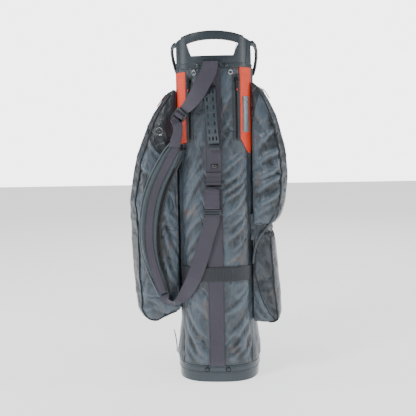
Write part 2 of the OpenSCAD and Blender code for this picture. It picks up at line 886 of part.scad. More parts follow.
base_cup();
base_band();
base_rivets();
stay_rods();
trunk_shell();
divider_panels();
top_collar();
divider_top();
rear_handle();
handle_grip();
side_rail_left();
side_rail_right();
collar_screws();
hood_eyelets();
spine_webbing();
cart_strap_band();
grab_handle();
grab_handle_keeper();
blank_patch();
accent_tape_left();
accent_tape_right();
accent_label();
rear_zip_tapes();
rear_zip_slider_left();
rear_zip_slider_right();
rear_zip_pull_left();
rear_zip_pull_right();
left_pocket();
right_pocket();
right_low_pocket();
left_pocket_piping();
right_pocket_piping();
left_pocket_zip();
right_pocket_zip();
left_pocket_slider();
right_pocket_slider();
left_pocket_pull();
right_pocket_pull();
valuables_pocket();
cooler_pocket();
ball_pocket();
front_zip_tapes();
valuables_slider();
cooler_slider();
ball_slider();
valuables_pull();
cooler_pull();
ball_pull();
strap_top_bar();
strap_top_fold();
strap_upper_web();
strap_buckle();
strap_web_tail();
strap_pad();
strap_pad_stripe();
strap_lower_web();
strap_link_web();
tri_glide();
strap_lower_ring();
umbrella_tab();
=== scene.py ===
"""Golf cart bag: the visual model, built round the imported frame.

Every length is in metres, in the frame's own axes: +Z up, -Y towards the shoulder strap.
"""
import logging
import math
from dataclasses import dataclass, field
from enum import Enum
from typing import Callable, Sequence

import bmesh
import bpy
import numpy as np
from mathutils import Matrix, Vector, noise
from mathutils.bvhtree import BVHTree


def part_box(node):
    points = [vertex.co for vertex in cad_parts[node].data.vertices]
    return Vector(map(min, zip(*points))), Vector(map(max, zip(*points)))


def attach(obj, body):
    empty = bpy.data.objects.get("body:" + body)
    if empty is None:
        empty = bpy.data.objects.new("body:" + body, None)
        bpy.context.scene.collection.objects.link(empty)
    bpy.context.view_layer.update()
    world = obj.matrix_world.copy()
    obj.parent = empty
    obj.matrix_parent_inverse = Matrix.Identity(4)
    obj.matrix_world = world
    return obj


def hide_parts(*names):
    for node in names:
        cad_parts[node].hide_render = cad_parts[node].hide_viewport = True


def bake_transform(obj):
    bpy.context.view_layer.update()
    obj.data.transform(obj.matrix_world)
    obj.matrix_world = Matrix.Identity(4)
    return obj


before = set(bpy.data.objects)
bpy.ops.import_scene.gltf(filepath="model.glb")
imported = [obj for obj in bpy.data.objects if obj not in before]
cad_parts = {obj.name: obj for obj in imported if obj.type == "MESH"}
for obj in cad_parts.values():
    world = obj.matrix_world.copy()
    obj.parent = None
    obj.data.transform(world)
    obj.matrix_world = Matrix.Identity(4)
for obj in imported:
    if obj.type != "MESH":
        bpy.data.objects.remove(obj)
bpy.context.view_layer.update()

LOG = logging.getLogger("golf_bag")
MM = 0.001
Point = Sequence[float]
Colour = tuple[float, float, float]


# ---------------------------------------------------------------- shaders


class Sock:
    """A node's output that takes part in Python expressions."""

    def __init__(self, graph: "Graph", socket: bpy.types.NodeSocket) -> None:
        """Keeps the socket and the graph that new nodes go into."""
        self.graph = graph
        self.socket = socket

    def math(self, operation: str, *others: object) -> "Sock":
        """Adds one Math node.

        Args:
            operation: Blender's name of the operation.
            others: the second and third values, numbers or sockets.

        Returns:
            The result's socket.
        """
        values = {i: v for i, v in enumerate((self, *others))}
        return self.graph.add("ShaderNodeMath", {"operation": operation}, values)

    def __add__(self, other: object) -> "Sock":
        """Sum."""
        return self.math("ADD", other)

    __radd__ = __add__

    def __sub__(self, other: object) -> "Sock":
        """Difference."""
        return self.math("SUBTRACT", other)

    def __rsub__(self, other: float) -> "Sock":
        """Difference from a number."""
        return self.math("MULTIPLY", -1.0).math("ADD", other)

    def __mul__(self, other: object) -> "Sock":
        """Product."""
        return self.math("MULTIPLY", other)

    __rmul__ = __mul__

    def __pow__(self, other: object) -> "Sock":
        """Power."""
        return self.math("POWER", other)


class Graph:
    """Node tree of one material, with a Principled shader at its end."""

    def __init__(self, name: str) -> None:
        """Makes an empty material and its shader."""
        self.material = bpy.data.materials.new(name)
        self.material.use_nodes = True
        self.tree = self.material.node_tree
        self.tree.nodes.clear()
        out = self.tree.nodes.new("ShaderNodeOutputMaterial")
        self.shader = self.tree.nodes.new("ShaderNodeBsdfPrincipled")
        self.tree.links.new(self.shader.outputs[0], out.inputs["Surface"])

    def add(self, kind: str, settings: dict | None = None, inputs: dict | None = None,
            output: int | str = 0) -> Sock:
        """Adds a node.

        Args:
            kind: the node's type.
            settings: its properties, set first.
            inputs: socket name or number to value or Sock.
            output: which output to return.

        Returns:
            That output's socket.
        """
        node = self.tree.nodes.new(kind)
        for key, value in (settings or {}).items():
            setattr(node, key, value)
        for key, value in (inputs or {}).items():
            self.put(node.inputs[key], value)
        return Sock(self, node.outputs[output])

    def put(self, socket: bpy.types.NodeSocket, value: object) -> None:
        """Links a Sock to the socket, or sets a plain value."""
        if isinstance(value, Sock):
            self.tree.links.new(value.socket, socket)
        else:
            socket.default_value = value

    def shade(self, **inputs: object) -> None:
        """Sets the shader's sockets; an underscore stands for a space."""
        for key, value in inputs.items():
            self.put(self.shader.inputs[key.replace("_", " ")], value)

    def place(self, scale: Point = (1, 1, 1), turn: Point = (0, 0, 0), uv: bool = False) -> Sock:
        """Object coordinates, or the piece's own UV map, scaled and turned."""
        if uv:
            source = self.add("ShaderNodeUVMap", {"uv_map": "cloth"})
        else:
            source = self.add("ShaderNodeTexCoord", output="Object")
        return self.add("ShaderNodeMapping", None,
                        {"Vector": source, "Scale": scale, "Rotation": turn})

    def noise(self, where: Sock, scale: float, detail: float = 2.0, rough: float = 0.5,
              warp: float = 0.0) -> Sock:
        """Noise between 0 and 1."""
        return self.add("ShaderNodeTexNoise", None, {"Vector": where, "Scale": scale,
                        "Detail": detail, "Roughness": rough, "Distortion": warp})

    def axis(self, where: Sock, index: int) -> Sock:
        """One component of a vector."""
        return self.add("ShaderNodeSeparateXYZ", None, {0: where}, index)

    def step(self, value: Sock, low: float, high: float) -> Sock:
        """0 below low, 1 above high, smooth between."""
        return self.add("ShaderNodeMapRange", {"interpolation_type": "SMOOTHSTEP"},
                        {"Value": value, "From Min": low, "From Max": high})

    def tint(self, factor: object, first: object, second: object) -> Sock:
        """Mixes two colours."""
        def rgba(value: object) -> object:
            return value if isinstance(value, Sock) else (*value, 1.0)
        settings = {"data_type": "RGBA", "blend_type": "MIX"}
        return self.add("ShaderNodeMix", settings,
                        {0: factor, 6: rgba(first), 7: rgba(second)}, 2)

    def bump(self, height: Sock, depth: float, strength: float = 1.0,
             base: Sock | None = None) -> Sock:
        """Bump of a real depth in metres, on top of another normal if one is given."""
        inputs: dict = {"Height": height, "Distance": depth, "Strength": strength}
        if base is not None:
            inputs["Normal"] = base
        return self.add("ShaderNodeBump", None, inputs)


def shade_of(colour: Colour, factor: float) -> Colour:
    """A colour made lighter or darker."""
    return tuple(min(1.0, c * factor) for c in colour)


@dataclass(frozen=True)
class Nylon:
    """Coated nylon with a soft sheen, crumple and faint warm streaks of painted reflection.

    The mesh's "fold" attribute, with noise, paints highlights on its ridges and painted shade in its
    hollows.
    """

    name: str
    colour: Colour
    dark_side: str = ""
    crumple: float = 1.0
    painted_reflection: float = 1.0

    def panel(self, g: Graph, where: Sock) -> Sock:
        """How far a pocket's colour is darkened, 0 to 1: the left pocket's sewn dark panel, a darker strip
        next to the trunk on the right pocket, the low pocket darker beyond its lens line, and painted shade
        on the side band past the rear piping.
        """
        x, y, z = (g.axis(where, k) for k in range(3))
        if self.dark_side == "left":
            bowl = (x + 0.145) ** 2.0 * 45.0 + 0.630
            inner = g.step(z - bowl, 0.0, 0.003) * g.step(y * -1.0, 0.055, 0.062)
        elif self.dark_side == "right":
            edge = (z - 0.62).math("MAXIMUM", 0.0) ** 2.0 * 0.95 + 0.099
            inner = g.step(edge - x, 0.0, 0.003)
        else:
            edge = (z - 0.33) ** 2.0 * 2.09 + 0.103
            inner = g.step(x - edge, 0.0, 0.003) * 0.75
        # Painted shade: the side band past the rear piping, towards the outer edge, is darkened as a side in
        # shadow.
        side = 1.0 - g.step((y + 0.006).math("ABSOLUTE"), 0.0665, 0.0705)
        outer = g.step(x.math("ABSOLUTE"), 0.122, 0.140)
        return inner.math("MAXIMUM", side * outer * 0.62)

    def build(self) -> bpy.types.Material:
        """Makes the material."""
        g = Graph(self.name)
        where = g.place()
        slant = g.place((2.2, 2.2, 1.0), (0.0, math.radians(38), 0.0))
        broad = g.noise(slant, 6.0, 3.0, 0.55, 0.6)
        folds = g.noise(slant, 17.0, 4.0, 0.6, 1.2)
        creased = g.noise(slant, 7.5, 2.0, 0.45, 0.8)
        crease = g.step((creased - 0.5).math("ABSOLUTE"), 0.0, 0.07)
        # Painted reflection: warm streaks, laid only where the nylon is painted lit.
        reflection_streak = g.step(g.noise(slant, 24.0, 3.0, 0.55, 1.0), 0.56, 0.70)
        fold = g.add("ShaderNodeAttribute", {"attribute_name": "fold"}, None, "Fac")
        # Painted light: lit and shaded copies of the nylon colour, lighter on fold ridges and noise highs,
        # darker in the hollows.
        lit = g.step(broad * 0.5 + fold * 0.42 + folds * 0.22, 0.12, 0.66)
        tone = g.tint(lit, shade_of(self.colour, 0.36), shade_of(self.colour, 1.75))
        warm_reflection = g.tint(reflection_streak * lit * 0.5, tone, shade_of((0.19, 0.105, 0.065), self.painted_reflection))
        weave_u = g.axis(where, 0) + g.axis(where, 1) * 0.7
        warp = (weave_u * 5200.0).math("SINE")
        weft = (g.axis(where, 2) * 5200.0).math("SINE")
        weave = warp * weft
        grain = g.tint((weave * 0.5 + 0.5) * 0.16, warm_reflection, (0.0, 0.0, 0.0))
        # Darkens the left pocket's dark panel and the other darker areas, and paints shade on the side band.
        if self.dark_side:
            grain = g.tint(self.panel(g, where) * 0.9, grain, (0.012, 0.016, 0.021))
        rough = g.noise(where, 30.0, 3.0) * 0.14 + 0.29
        normal = g.bump(folds, 0.0042 * self.crumple, 0.8)
        normal = g.bump(crease, 0.0016 * self.crumple, 0.8, normal)
        normal = g.bump(g.noise(where, 140.0, 3.0, 0.6), 0.0006 * self.crumple, 0.7, normal)
        normal = g.bump(weave, 0.00006, 0.6, normal)
        g.shade(Base_Color=grain, Roughness=rough, Normal=normal, Sheen_Weight=0.06,
                Sheen_Roughness=0.4, Specular_IOR_Level=0.6)
        return g.material


@dataclass(frozen=True)
class Webbing:
    """Woven strap: ribs along its length, weft across, darker at its edges."""

    name: str
    colour: Colour
    ribs: float = 14.0
    rough: float = 0.62

    def build(self) -> bpy.types.Material:
        """Makes the material. The piece's UV map runs 0 to 1 across and in metres along."""
        g = Graph(self.name)
        cloth = g.place(uv=True)
        across, along = g.axis(cloth, 0), g.axis(cloth, 1)
        rib = (across * (2.0 * math.pi * self.ribs)).math("SINE") * 0.5 + 0.5
        weft = (along * 3600.0 + rib * 2.4).math("SINE") * 0.5 + 0.5
        fray = g.noise(g.place(), 420.0, 3.0, 0.7)
        soil = g.noise(g.place(), 9.0, 4.0, 0.6)
        edge = g.step((across - 0.5).math("ABSOLUTE"), 0.44, 0.5)
        mixed = g.tint(soil, shade_of(self.colour, 0.78), shade_of(self.colour, 1.25))
        ribbed = g.tint((rib * weft) * 0.45, mixed, shade_of(self.colour, 1.7))
        edged = g.tint(edge * 0.45, ribbed, shade_of(self.colour, 0.4))
        flecks = g.tint(g.step(fray, 0.6, 0.8) * 0.25, edged, shade_of(self.colour, 2.0))
        normal = g.bump(rib * 0.7 + weft * 0.5, 0.00022, 0.9)
        normal = g.bump(fray, 0.0002, 0.6, normal)
        g.shade(Base_Color=flecks, Roughness=fray * 0.2 + (self.rough - 0.1), Normal=normal,
                Sheen_Weight=0.06, Sheen_Roughness=0.5)
        return g.material


@dataclass(frozen=True)
class Moulded:
    """Injection-moulded plastic or rubber with a fine spark-eroded grain."""

    name: str
    colour: Colour
    rough: float = 0.45
    grain: float = 1.0
    gloss: float = 0.5
    metal: float = 0.0

    def build(self) -> bpy.types.Material:
        """Makes the material."""
        g = Graph(self.name)
        where = g.place()
        cloud = g.noise(where, 14.0, 4.0, 0.6)
        fine = g.noise(where, 900.0, 2.0, 0.6)
        scuff = g.step(g.noise(g.place((1.0, 1.0, 5.0)), 60.0, 4.0, 0.7, 1.5), 0.62, 0.78)
        tone = g.tint(cloud, shade_of(self.colour, 0.84), shade_of(self.colour, 1.18))
        worn = g.tint(scuff * 0.14, tone, shade_of(self.colour, 2.2))
        rough = cloud * 0.12 + scuff * 0.1 + (self.rough - 0.06)
        normal = g.bump(fine, 0.00012 * self.grain, 0.8)
        normal = g.bump(cloud, 0.0004, 0.25, normal)
        g.shade(Base_Color=worn, Roughness=rough, Normal=normal, Metallic=self.metal,
                Specular_IOR_Level=self.gloss)
        return g.material


@dataclass(frozen=True)
class SpacerMesh:
    """Open-knit padding cover: rows of small cells over a soft ground."""

    name: str
    colour: Colour

    def build(self) -> bpy.types.Material:
        """Makes the material."""
        g = Graph(self.name)
        where = g.place()
        cells = g.add("ShaderNodeTexVoronoi", {"feature": "F1"},
                      {"Vector": where, "Scale": 330.0, "Randomness": 0.35}, "Distance")
        hole = g.step(cells, 0.28, 0.55)
        rows = ((g.axis(where, 2) + g.axis(where, 0) * 0.4) * 1500.0).math("SINE") * 0.5 + 0.5
        cloud = g.noise(where, 18.0, 3.0)
        tone = g.tint(cloud, shade_of(self.colour, 0.8), shade_of(self.colour, 1.3))
        ribbed = g.tint(rows * 0.35, tone, shade_of(self.colour, 0.5))
        knit = g.tint(hole * 0.4, ribbed, shade_of(self.colour, 0.3))
        normal = g.bump(rows * 0.6 - hole * 0.6, 0.0007, 0.9)
        normal = g.bump(g.noise(where, 60.0, 3.0), 0.0015, 0.5, normal)
        g.shade(Base_Color=knit, Roughness=0.82, Normal=normal, Sheen_Weight=0.1,
                Sheen_Roughness=0.5)
        return g.material


@dataclass(frozen=True)
class Braid:
    """Round or flat braided cord and sewing thread."""

    name: str
    colour: Colour
    pitch: float = 900.0

    def build(self) -> bpy.types.Material:
        """Makes the material."""
        g = Graph(self.name)
        where = g.place()
        one = ((g.axis(where, 2) + g.axis(where, 0)) * self.pitch).math("SINE")
        two = ((g.axis(where, 2) - g.axis(where, 0)) * self.pitch).math("SINE")
        strand = (one * two) * 0.5 + 0.5
        fuzz = g.noise(where, 500.0, 3.0, 0.7)
        tone = g.tint(strand, shade_of(self.colour, 0.55), shade_of(self.colour, 1.3))
        worn = g.tint(fuzz * 0.3, tone, shade_of(self.colour, 1.6))
        normal = g.bump(strand, 0.0003, 0.9)
        g.shade(Base_Color=worn, Roughness=fuzz * 0.2 + 0.6, Normal=normal, Sheen_Weight=0.06)
        return g.material


SLATE: Colour = (0.041, 0.058, 0.075)
VIOLET: Colour = (0.043, 0.039, 0.057)
ORANGE: Colour = (0.74, 0.040, 0.003)
BLUE_PLASTIC: Colour = (0.025, 0.037, 0.046)


class Finish(Enum):
    """The bag's finishes, each with its record slot."""

    TRUNK = ("bag_nylon", Nylon("Slate nylon", SLATE))
    LEFT_POCKET = ("bag_nylon", Nylon("Slate nylon left", SLATE, "left", 1.2))
    RIGHT_POCKET = ("bag_nylon", Nylon("Slate nylon right", SLATE, "right", 1.2))
    LOW_POCKET = ("bag_nylon", Nylon("Slate nylon low", SLATE, "low", 1.2))
    LINING = ("panel_lining", Nylon("Lining", (0.018, 0.022, 0.026), "", 0.3, 0.1))
    TRIM = ("dark_trim", Webbing("Dark trim tape", (0.014, 0.018, 0.023), 20.0, 0.55))
    PIPING = ("dark_trim", Braid("Dark piping cord", (0.015, 0.018, 0.022), 700.0))
    VIOLET = ("violet_webbing", Webbing("Violet webbing", VIOLET, 13.0))
    ACCENT = ("accent_webbing", Webbing("Orange tape", ORANGE, 24.0, 0.5))
    MOULD = ("moulded_plastic", Moulded("Moulded collar plastic", BLUE_PLASTIC, 0.42))
    BASE = ("base_plastic", Moulded("Moulded base plastic", (0.029, 0.044, 0.056), 0.22))
    GRIP = ("grip_rubber", Moulded("Grip rubber", (0.018, 0.020, 0.023), 0.7, 2.0))
    DIVIDER = ("divider_plastic", Moulded("Divider plastic", (0.03, 0.036, 0.042), 0.5))
    ROD = ("stay_rod", Moulded("Stay rod", (0.05, 0.05, 0.055), 0.35, 0.5))
    LABEL = ("label_grey", Moulded("Reflective label", (0.15, 0.185, 0.21), 0.32, 0.6))
    PATCH = ("patch_black", Moulded("Soft patch", (0.012, 0.014, 0.017), 0.5))
    TPU = ("handle_tpu", Moulded("Soft handle", (0.030, 0.045, 0.055), 0.5, 1.4))
    SCREW = ("screw_metal", Moulded("Screw steel", (0.10, 0.12, 0.13), 0.35, 0.5, 0.5, 0.9))
    EYELET = ("eyelet_metal", Moulded("Eyelet plate", (0.42, 0.43, 0.44), 0.24, 0.3, 0.5, 1.0))
    SLIDER = ("slider_metal", Moulded("Black zip metal", (0.02, 0.022, 0.025), 0.34, 0.5, 0.5, 0.6))
    ZIP = ("zip_tape", Nylon("Zip tape", (0.022, 0.028, 0.034), "", 0.25, 0.1))
    PULL_BLACK = ("pull_black", Moulded("Black pull cord", (0.016, 0.018, 0.02), 0.5))
    PULL_RED = ("pull_red", Braid("Red pull cord", (0.62, 0.030, 0.030)))
    BUCKLE = ("buckle_plastic", Moulded("Buckle plastic", (0.026, 0.034, 0.042), 0.33, 0.7))
    PAD = ("pad_mesh", SpacerMesh("Pad mesh", (0.070, 0.094, 0.110)))
    THREAD = ("dark_trim", Braid("Dark thread", (0.02, 0.023, 0.027), 2200.0))
    PALE_THREAD = ("bag_nylon", Braid("Slate thread", (0.09, 0.115, 0.135), 2200.0))


class Paint:
    """Builds each finish once and hands it out."""

    def __init__(self) -> None:
        """Starts with nothing built."""
        self.made: dict[Finish, bpy.types.Material] = {}

    def on(self, piece: bpy.types.Object, finish: Finish) -> bpy.types.Object:
        """Gives the piece its material.

        Args:
            piece: the object to dress.
            finish: one of the bag's finishes.

        Returns:
            The same object.
        """
        slot, recipe = finish.value
        if finish not in self.made:
            self.made[finish] = recipe.build()
        piece.data.materials.clear()
        piece.data.materials.append(self.made[finish])
        return piece


# ---------------------------------------------------------------- modelling bench


@dataclass(frozen=True)
class Oval:
    """Superellipse that the bag's plan follows, in metres."""

    hx: float
    hy: float
    power: float = 2.8

    def back_y(self, x: float) -> float:
        """Rear face's y at x."""
        share = min(abs(x) / self.hx, 0.9999)
        return -self.hy * (1.0 - share ** self.power) ** (1.0 / self.power)

    def normal(self, x: float) -> Vector:
        """Outward normal of the rear face at x."""
        share = min(abs(x) / self.hx, 0.9999)
        nx = math.copysign(share ** (self.power - 1.0) / self.hx, x)
        ny = -((-self.back_y(x) / self.hy) ** (self.power - 1.0)) / self.hy
        return Vector((nx, ny, 0.0)).normalized()

    def back(self, x: float, z: float, off: float = 0.0) -> Vector:
        """Point on the rear face, moved outwards by off."""
        return Vector((x, self.back_y(x), z)) + self.normal(x) * off

    def at(self, angle: float, z: float) -> Vector:
        """Point at a superellipse angle, 0 at +X and 90 degrees at +Y."""
        c, s = math.cos(angle), math.sin(angle)
        return Vector((self.hx * math.copysign(abs(c) ** (2 / self.power), c),
                       self.hy * math.copysign(abs(s) ** (2 / self.power), s), z))


TRUNK = Oval(0.1065, 0.1195)
TRUNK_STEPS = ((0.0442, 0.1136, 0.1216), (0.058, 0.1185, 0.1234), (0.080, 0.1170, 0.1224),
               (0.120, 0.1110, 0.1204), (0.160, 0.1065, 0.1195), (0.857, 0.1065, 0.1195))


def trunk_at(z: float) -> Oval:
    """The trunk's plan at a height: flared over the base, straight above."""
    for (z0, a0, b0), (z1, a1, b1) in zip(TRUNK_STEPS, TRUNK_STEPS[1:]):
        if z <= z1:
            t = max(0.0, (z - z0) / (z1 - z0))
            return Oval(a0 + (a1 - a0) * t, b0 + (b1 - b0) * t)
    return TRUNK


def even_angles(count: int, oval: Oval = TRUNK) -> list[float]:
    """Superellipse angles spaced evenly along the curve, starting at the front's middle."""
    fine = [math.pi / 2 + 2 * math.pi * i / 4000 for i in range(4001)]
    run = arc_run([oval.at(a, 0.0) for a in fine])
    return list(np.interp(np.linspace(0.0, run[-1], count + 1)[:-1], run, fine))


def turns(count: int) -> list[float]:
    """Angles spaced evenly round a full turn."""
    return [2 * math.pi * k / count for k in range(count)]


def arc_run(places: Sequence[Vector]) -> np.ndarray:
    """Distance travelled along a line at each of its points."""
    steps = [(q - p).length for p, q in zip(places, places[1:])]
    return np.concatenate(([0.0], np.cumsum(steps)))


def points_of(mesh: bpy.types.Mesh) -> np.ndarray:
    """The mesh's points, one row each."""
    co = np.empty(len(mesh.vertices) * 3)
    mesh.vertices.foreach_get("co", co)
    return co.reshape(-1, 3)


def move_points(mesh: bpy.types.Mesh, places: np.ndarray) -> None:
    """Puts the mesh's points in new places."""
    mesh.vertices.foreach_set("co", places.ravel())
    mesh.update()


def smooth_step(value: float, low: float, high: float) -> float:
    """0 below low, 1 above high, smooth between."""
    t = min(1.0, max(0.0, (value - low) / (high - low)))
    return t * t * (3.0 - 2.0 * t)


def spline(rows: Sequence[Sequence[float]], count: int) -> np.ndarray:
    """Smooth curve through rows of numbers.

    Args:
        rows: the values at each knot.
        count: how many rows to return.

    Returns:
        An array of count rows.
    """
    knots = np.array(rows, float)
    padded = np.vstack((2 * knots[0] - knots[1], knots, 2 * knots[-1] - knots[-2]))
    out = []
    for i in range(count):
        place = (len(knots) - 1) * i / (count - 1)
        k = min(int(place), len(knots) - 2)
        t = place - k
        p0, p1, p2, p3 = padded[k:k + 4]
        out.append(0.5 * (2 * p1 + (p2 - p0) * t + (2 * p0 - 5 * p1 + 4 * p2 - p3) * t * t
                          + (3 * p1 - p0 - 3 * p2 + p3) * t ** 3))
    return np.array(out)


class Bench:
    """Modelling moves that every sub-assembly uses."""

    @staticmethod
    def pick(*pieces: bpy.types.Object) -> None:
        """Selects these objects and nothing else; the first is active."""
        bpy.ops.object.select_all(action="DESELECT")
        for piece in pieces:
            piece.select_set(True)
        bpy.context.view_layer.objects.active = pieces[0]

    @staticmethod
    def name(piece: bpy.types.Object, name: str) -> bpy.types.Object:
        """Names an object and its mesh."""
        piece.name = name
        piece.data.name = name
        return piece

    @staticmethod
    def modify(piece: bpy.types.Object, kind: str, **settings: object) -> bpy.types.Object:
        """Adds one modifier and applies it.

        Args:
            piece: the object.
            kind: the modifier's type.
            settings: its properties.

        Returns:
            The same object.
        """
        modifier = piece.modifiers.new(kind.title(), kind)
        for key, value in settings.items():
            setattr(modifier, key, value)
        Bench.pick(piece)
        bpy.ops.object.modifier_apply(modifier=modifier.name)
        return piece

    @staticmethod
    def edit(piece: bpy.types.Object, *moves: Callable[[], object]) -> bpy.types.Object:
        """Runs edit-mode operators on the whole mesh."""
        Bench.pick(piece)
        bpy.ops.object.mode_set(mode="EDIT")
        bpy.ops.mesh.select_all(action="SELECT")
        for move in moves:
            move()
        bpy.ops.object.mode_set(mode="OBJECT")
        return piece

    @staticmethod
    def smooth(piece: bpy.types.Object, degrees: float = 40.0) -> bpy.types.Object:
        """Smooth shading with edges kept sharp above an angle."""
        Bench.pick(piece)
        bpy.ops.object.shade_smooth_by_angle(angle=math.radians(degrees))
        return piece

    @staticmethod
    def join(pieces: Sequence[bpy.types.Object], name: str) -> bpy.types.Object:
        """Joins several objects into one."""
        Bench.pick(*pieces)
        if len(pieces) > 1:
            bpy.ops.object.join()
        return Bench.name(pieces[0], name)

    @staticmethod
    def refine(node: str, name: str, bevel: float = 0.0008, segments: int = 2) -> bpy.types.Object:
        """Moulded piece from a CAD node: merged, flats joined, edges rounded.

        Args:
            node: the CAD node.
            name: the new piece's name.
            bevel: radius of its edges.
            segments: steps round each edge.

        Returns:
            The new piece, which stands for the node.
        """
        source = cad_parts[node]
        piece = bpy.data.objects.new(name, source.data.copy())
        bpy.context.scene.collection.objects.link(piece)
        piece.data.name = name
        if piece.data.has_custom_normals:
            Bench.pick(piece)
            bpy.ops.mesh.customdata_custom_splitnormals_clear()
        Bench.edit(piece, lambda: bpy.ops.mesh.remove_doubles(threshold=0.00003),
                   lambda: bpy.ops.mesh.dissolve_limited(angle_limit=math.radians(1.5)))
        if bevel:
            Bench.modify(piece, "BEVEL", width=bevel, segments=segments,
                         limit_method="ANGLE", angle_limit=math.radians(32.0),
                         use_clamp_overlap=True, harden_normals=False)
        Bench.smooth(piece, 35.0)
        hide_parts(node)
        return piece

    @staticmethod
    def grid(name: str, columns: int, rows: int,
             place: Callable[[float, float], Point]) -> bpy.types.Object:
        """Sheet shaped point by point from a flat grid, with a UV map called cloth.

        Args:
            name: its name.
            columns: cells across.
            rows: cells along.
            place: gives a point for u across and v along, both 0 to 1.

        Returns:
            The sheet; UV is u across and metres along.
        """
        bpy.ops.object.select_all(action="DESELECT")
        bpy.ops.mesh.primitive_grid_add(x_subdivisions=columns, y_subdivisions=rows, size=1.0,
                                        location=(0.0, 0.0, 0.0))
        sheet = Bench.name(bpy.context.object, name)
        mesh = sheet.data
        uv = points_of(mesh)[:, :2] + 0.5
        move_points(mesh, np.array([place(u, v) for u, v in uv], float))
        length = arc_run([Vector(place(0.5, i / 24)) for i in range(25)])[-1]
        layer = mesh.uv_layers[0]
        layer.name = "cloth"
        corners = np.empty(len(mesh.loops), dtype=np.int32)
        mesh.loops.foreach_get("vertex_index", corners)
        layer.data.foreach_set("uv", (uv[corners] * (1.0, length)).ravel())
        mesh.update()
        return sheet

    @staticmethod
    def folded(piece: bpy.types.Object, values: Sequence[float]) -> None:
        """Keeps each point's fold height, -1 to 1, as the mesh's own attribute."""
        layer = piece.data.attributes.new("fold", "FLOAT", "POINT")
        layer.data.foreach_set("value", np.clip(np.array(values, dtype=np.float32), -1.0, 1.0))

    @staticmethod
    def thicken(sheet: bpy.types.Object, depth: float, offset: float = 0.0,
                edge: float = 0.0) -> bpy.types.Object:
        """Gives a sheet its thickness and soft edges."""
        Bench.modify(sheet, "SOLIDIFY", thickness=depth, offset=offset)
        if edge:
            Bench.modify(sheet, "BEVEL", width=edge, segments=2, limit_method="ANGLE",
                         angle_limit=math.radians(50))
        return Bench.smooth(sheet, 50.0)

    @staticmethod
    def directions(fine: np.ndarray, k: int) -> tuple[Vector, Vector]:
        """Directions along a band and across it, at one row of its splined route."""
        ahead = Vector(fine[min(k + 1, len(fine) - 1)][:3]) - Vector(fine[max(k - 1, 0)][:3])
        tangent = ahead.normalized()
        across = Vector(fine[k][3:6])
        return tangent, (across - tangent * across.dot(tangent)).normalized()

    @staticmethod
    def ribbon(name: str, route: Sequence[tuple[Point, Point, float]], depth: float,
               rows: int = 60, columns: int = 8, crown: float = 0.0,
               ripple: float = 0.0) -> bpy.types.Object:
        """Flat band along a route given in millimetres.

        Args:
            name: its name.
            route: rows of a point, the direction of the band's width, and the width.
            depth: its thickness in metres.
            rows: cells along.
            columns: cells across.
            crown: how far its middle stands out, in metres.
            ripple: small waves along its edges, in metres.

        Returns:
            The band.
        """
        knots = [(*p, *Vector(d).normalized(), w) for p, d, w in route]
        fine = spline(knots, rows + 1)

        def place(u: float, v: float) -> Vector:
            k = min(int(round(v * rows)), rows)
            here = Vector(fine[k][:3]) * MM
            tangent, across = Bench.directions(fine, k)
            out = across.cross(tangent)
            if out.y > 0:
                out = -out
            wave = ripple * math.sin(v * 37.0 + u * 2.0) * abs(u - 0.5) * 2.0
            rise = crown * (1.0 - (2.0 * u - 1.0) ** 2) + wave
            return here + across * (u - 0.5) * fine[k][6] * MM + out * rise

        return Bench.thicken(Bench.grid(name, columns, rows, place), depth, 0.0, depth * 0.3)

    @staticmethod
    def tube(name: str, points: Sequence[Point], radius: float, sides: int = 8,
             closed: bool = False, smooth: int = 0) -> bpy.types.Object:
        """Round cord or bar along points in metres.

        Args:
            name: its name.
            points: the centreline.
            radius: half its thickness.
            sides: a multiple of four.
            closed: joins the ends.
            smooth: how many points to smooth the line to, or 0 to keep it.

        Returns:
            A mesh.
        """
        line = spline(points, smooth) if smooth else np.array([tuple(p) for p in points])
        curve = bpy.data.curves.new(name, "CURVE")
        curve.dimensions = "3D"
        curve.bevel_depth = radius
        curve.bevel_resolution = sides // 4 - 1 if sides > 4 else 0
        curve.use_fill_caps = True
        strand = curve.splines.new("POLY")
        strand.points.add(len(line) - 1)
        strand.use_cyclic_u = closed
        for knot, place in zip(strand.points, line):
            knot.co = (*place, 1.0)
        piece = bpy.data.objects.new(name, curve)
        bpy.context.scene.collection.objects.link(piece)
        Bench.pick(piece)
        bpy.ops.object.convert(target="MESH")
        piece = bpy.context.object
        Bench.edit(piece, lambda: bpy.ops.mesh.remove_doubles(threshold=0.00001),
                   lambda: bpy.ops.mesh.normals_make_consistent(inside=False))
        return Bench.name(Bench.smooth(piece, 60.0), name)

    @staticmethod
    def block(size: Point, place: Point, bevel: float, segments: int = 3) -> bpy.types.Object:
        """Rounded block: a cube taken to size with its edges bevelled.

        Args:
            size: full lengths in metres.
            place: its centre.
            bevel: radius of its edges.
            segments: steps round each edge.

        Returns:
            The block.
        """
        bpy.ops.object.select_all(action="DESELECT")
        bpy.ops.mesh.primitive_cube_add(size=1.0, location=(0.0, 0.0, 0.0))
        piece = bpy.context.object
        piece.data.transform(Matrix.Diagonal((*size, 1.0)))
        Bench.edit(piece, lambda: bpy.ops.mesh.bevel(offset=bevel, segments=segments,
                                                      affect="EDGES"))
        piece.data.transform(Matrix.Translation(place))
        return Bench.smooth(piece, 45.0)

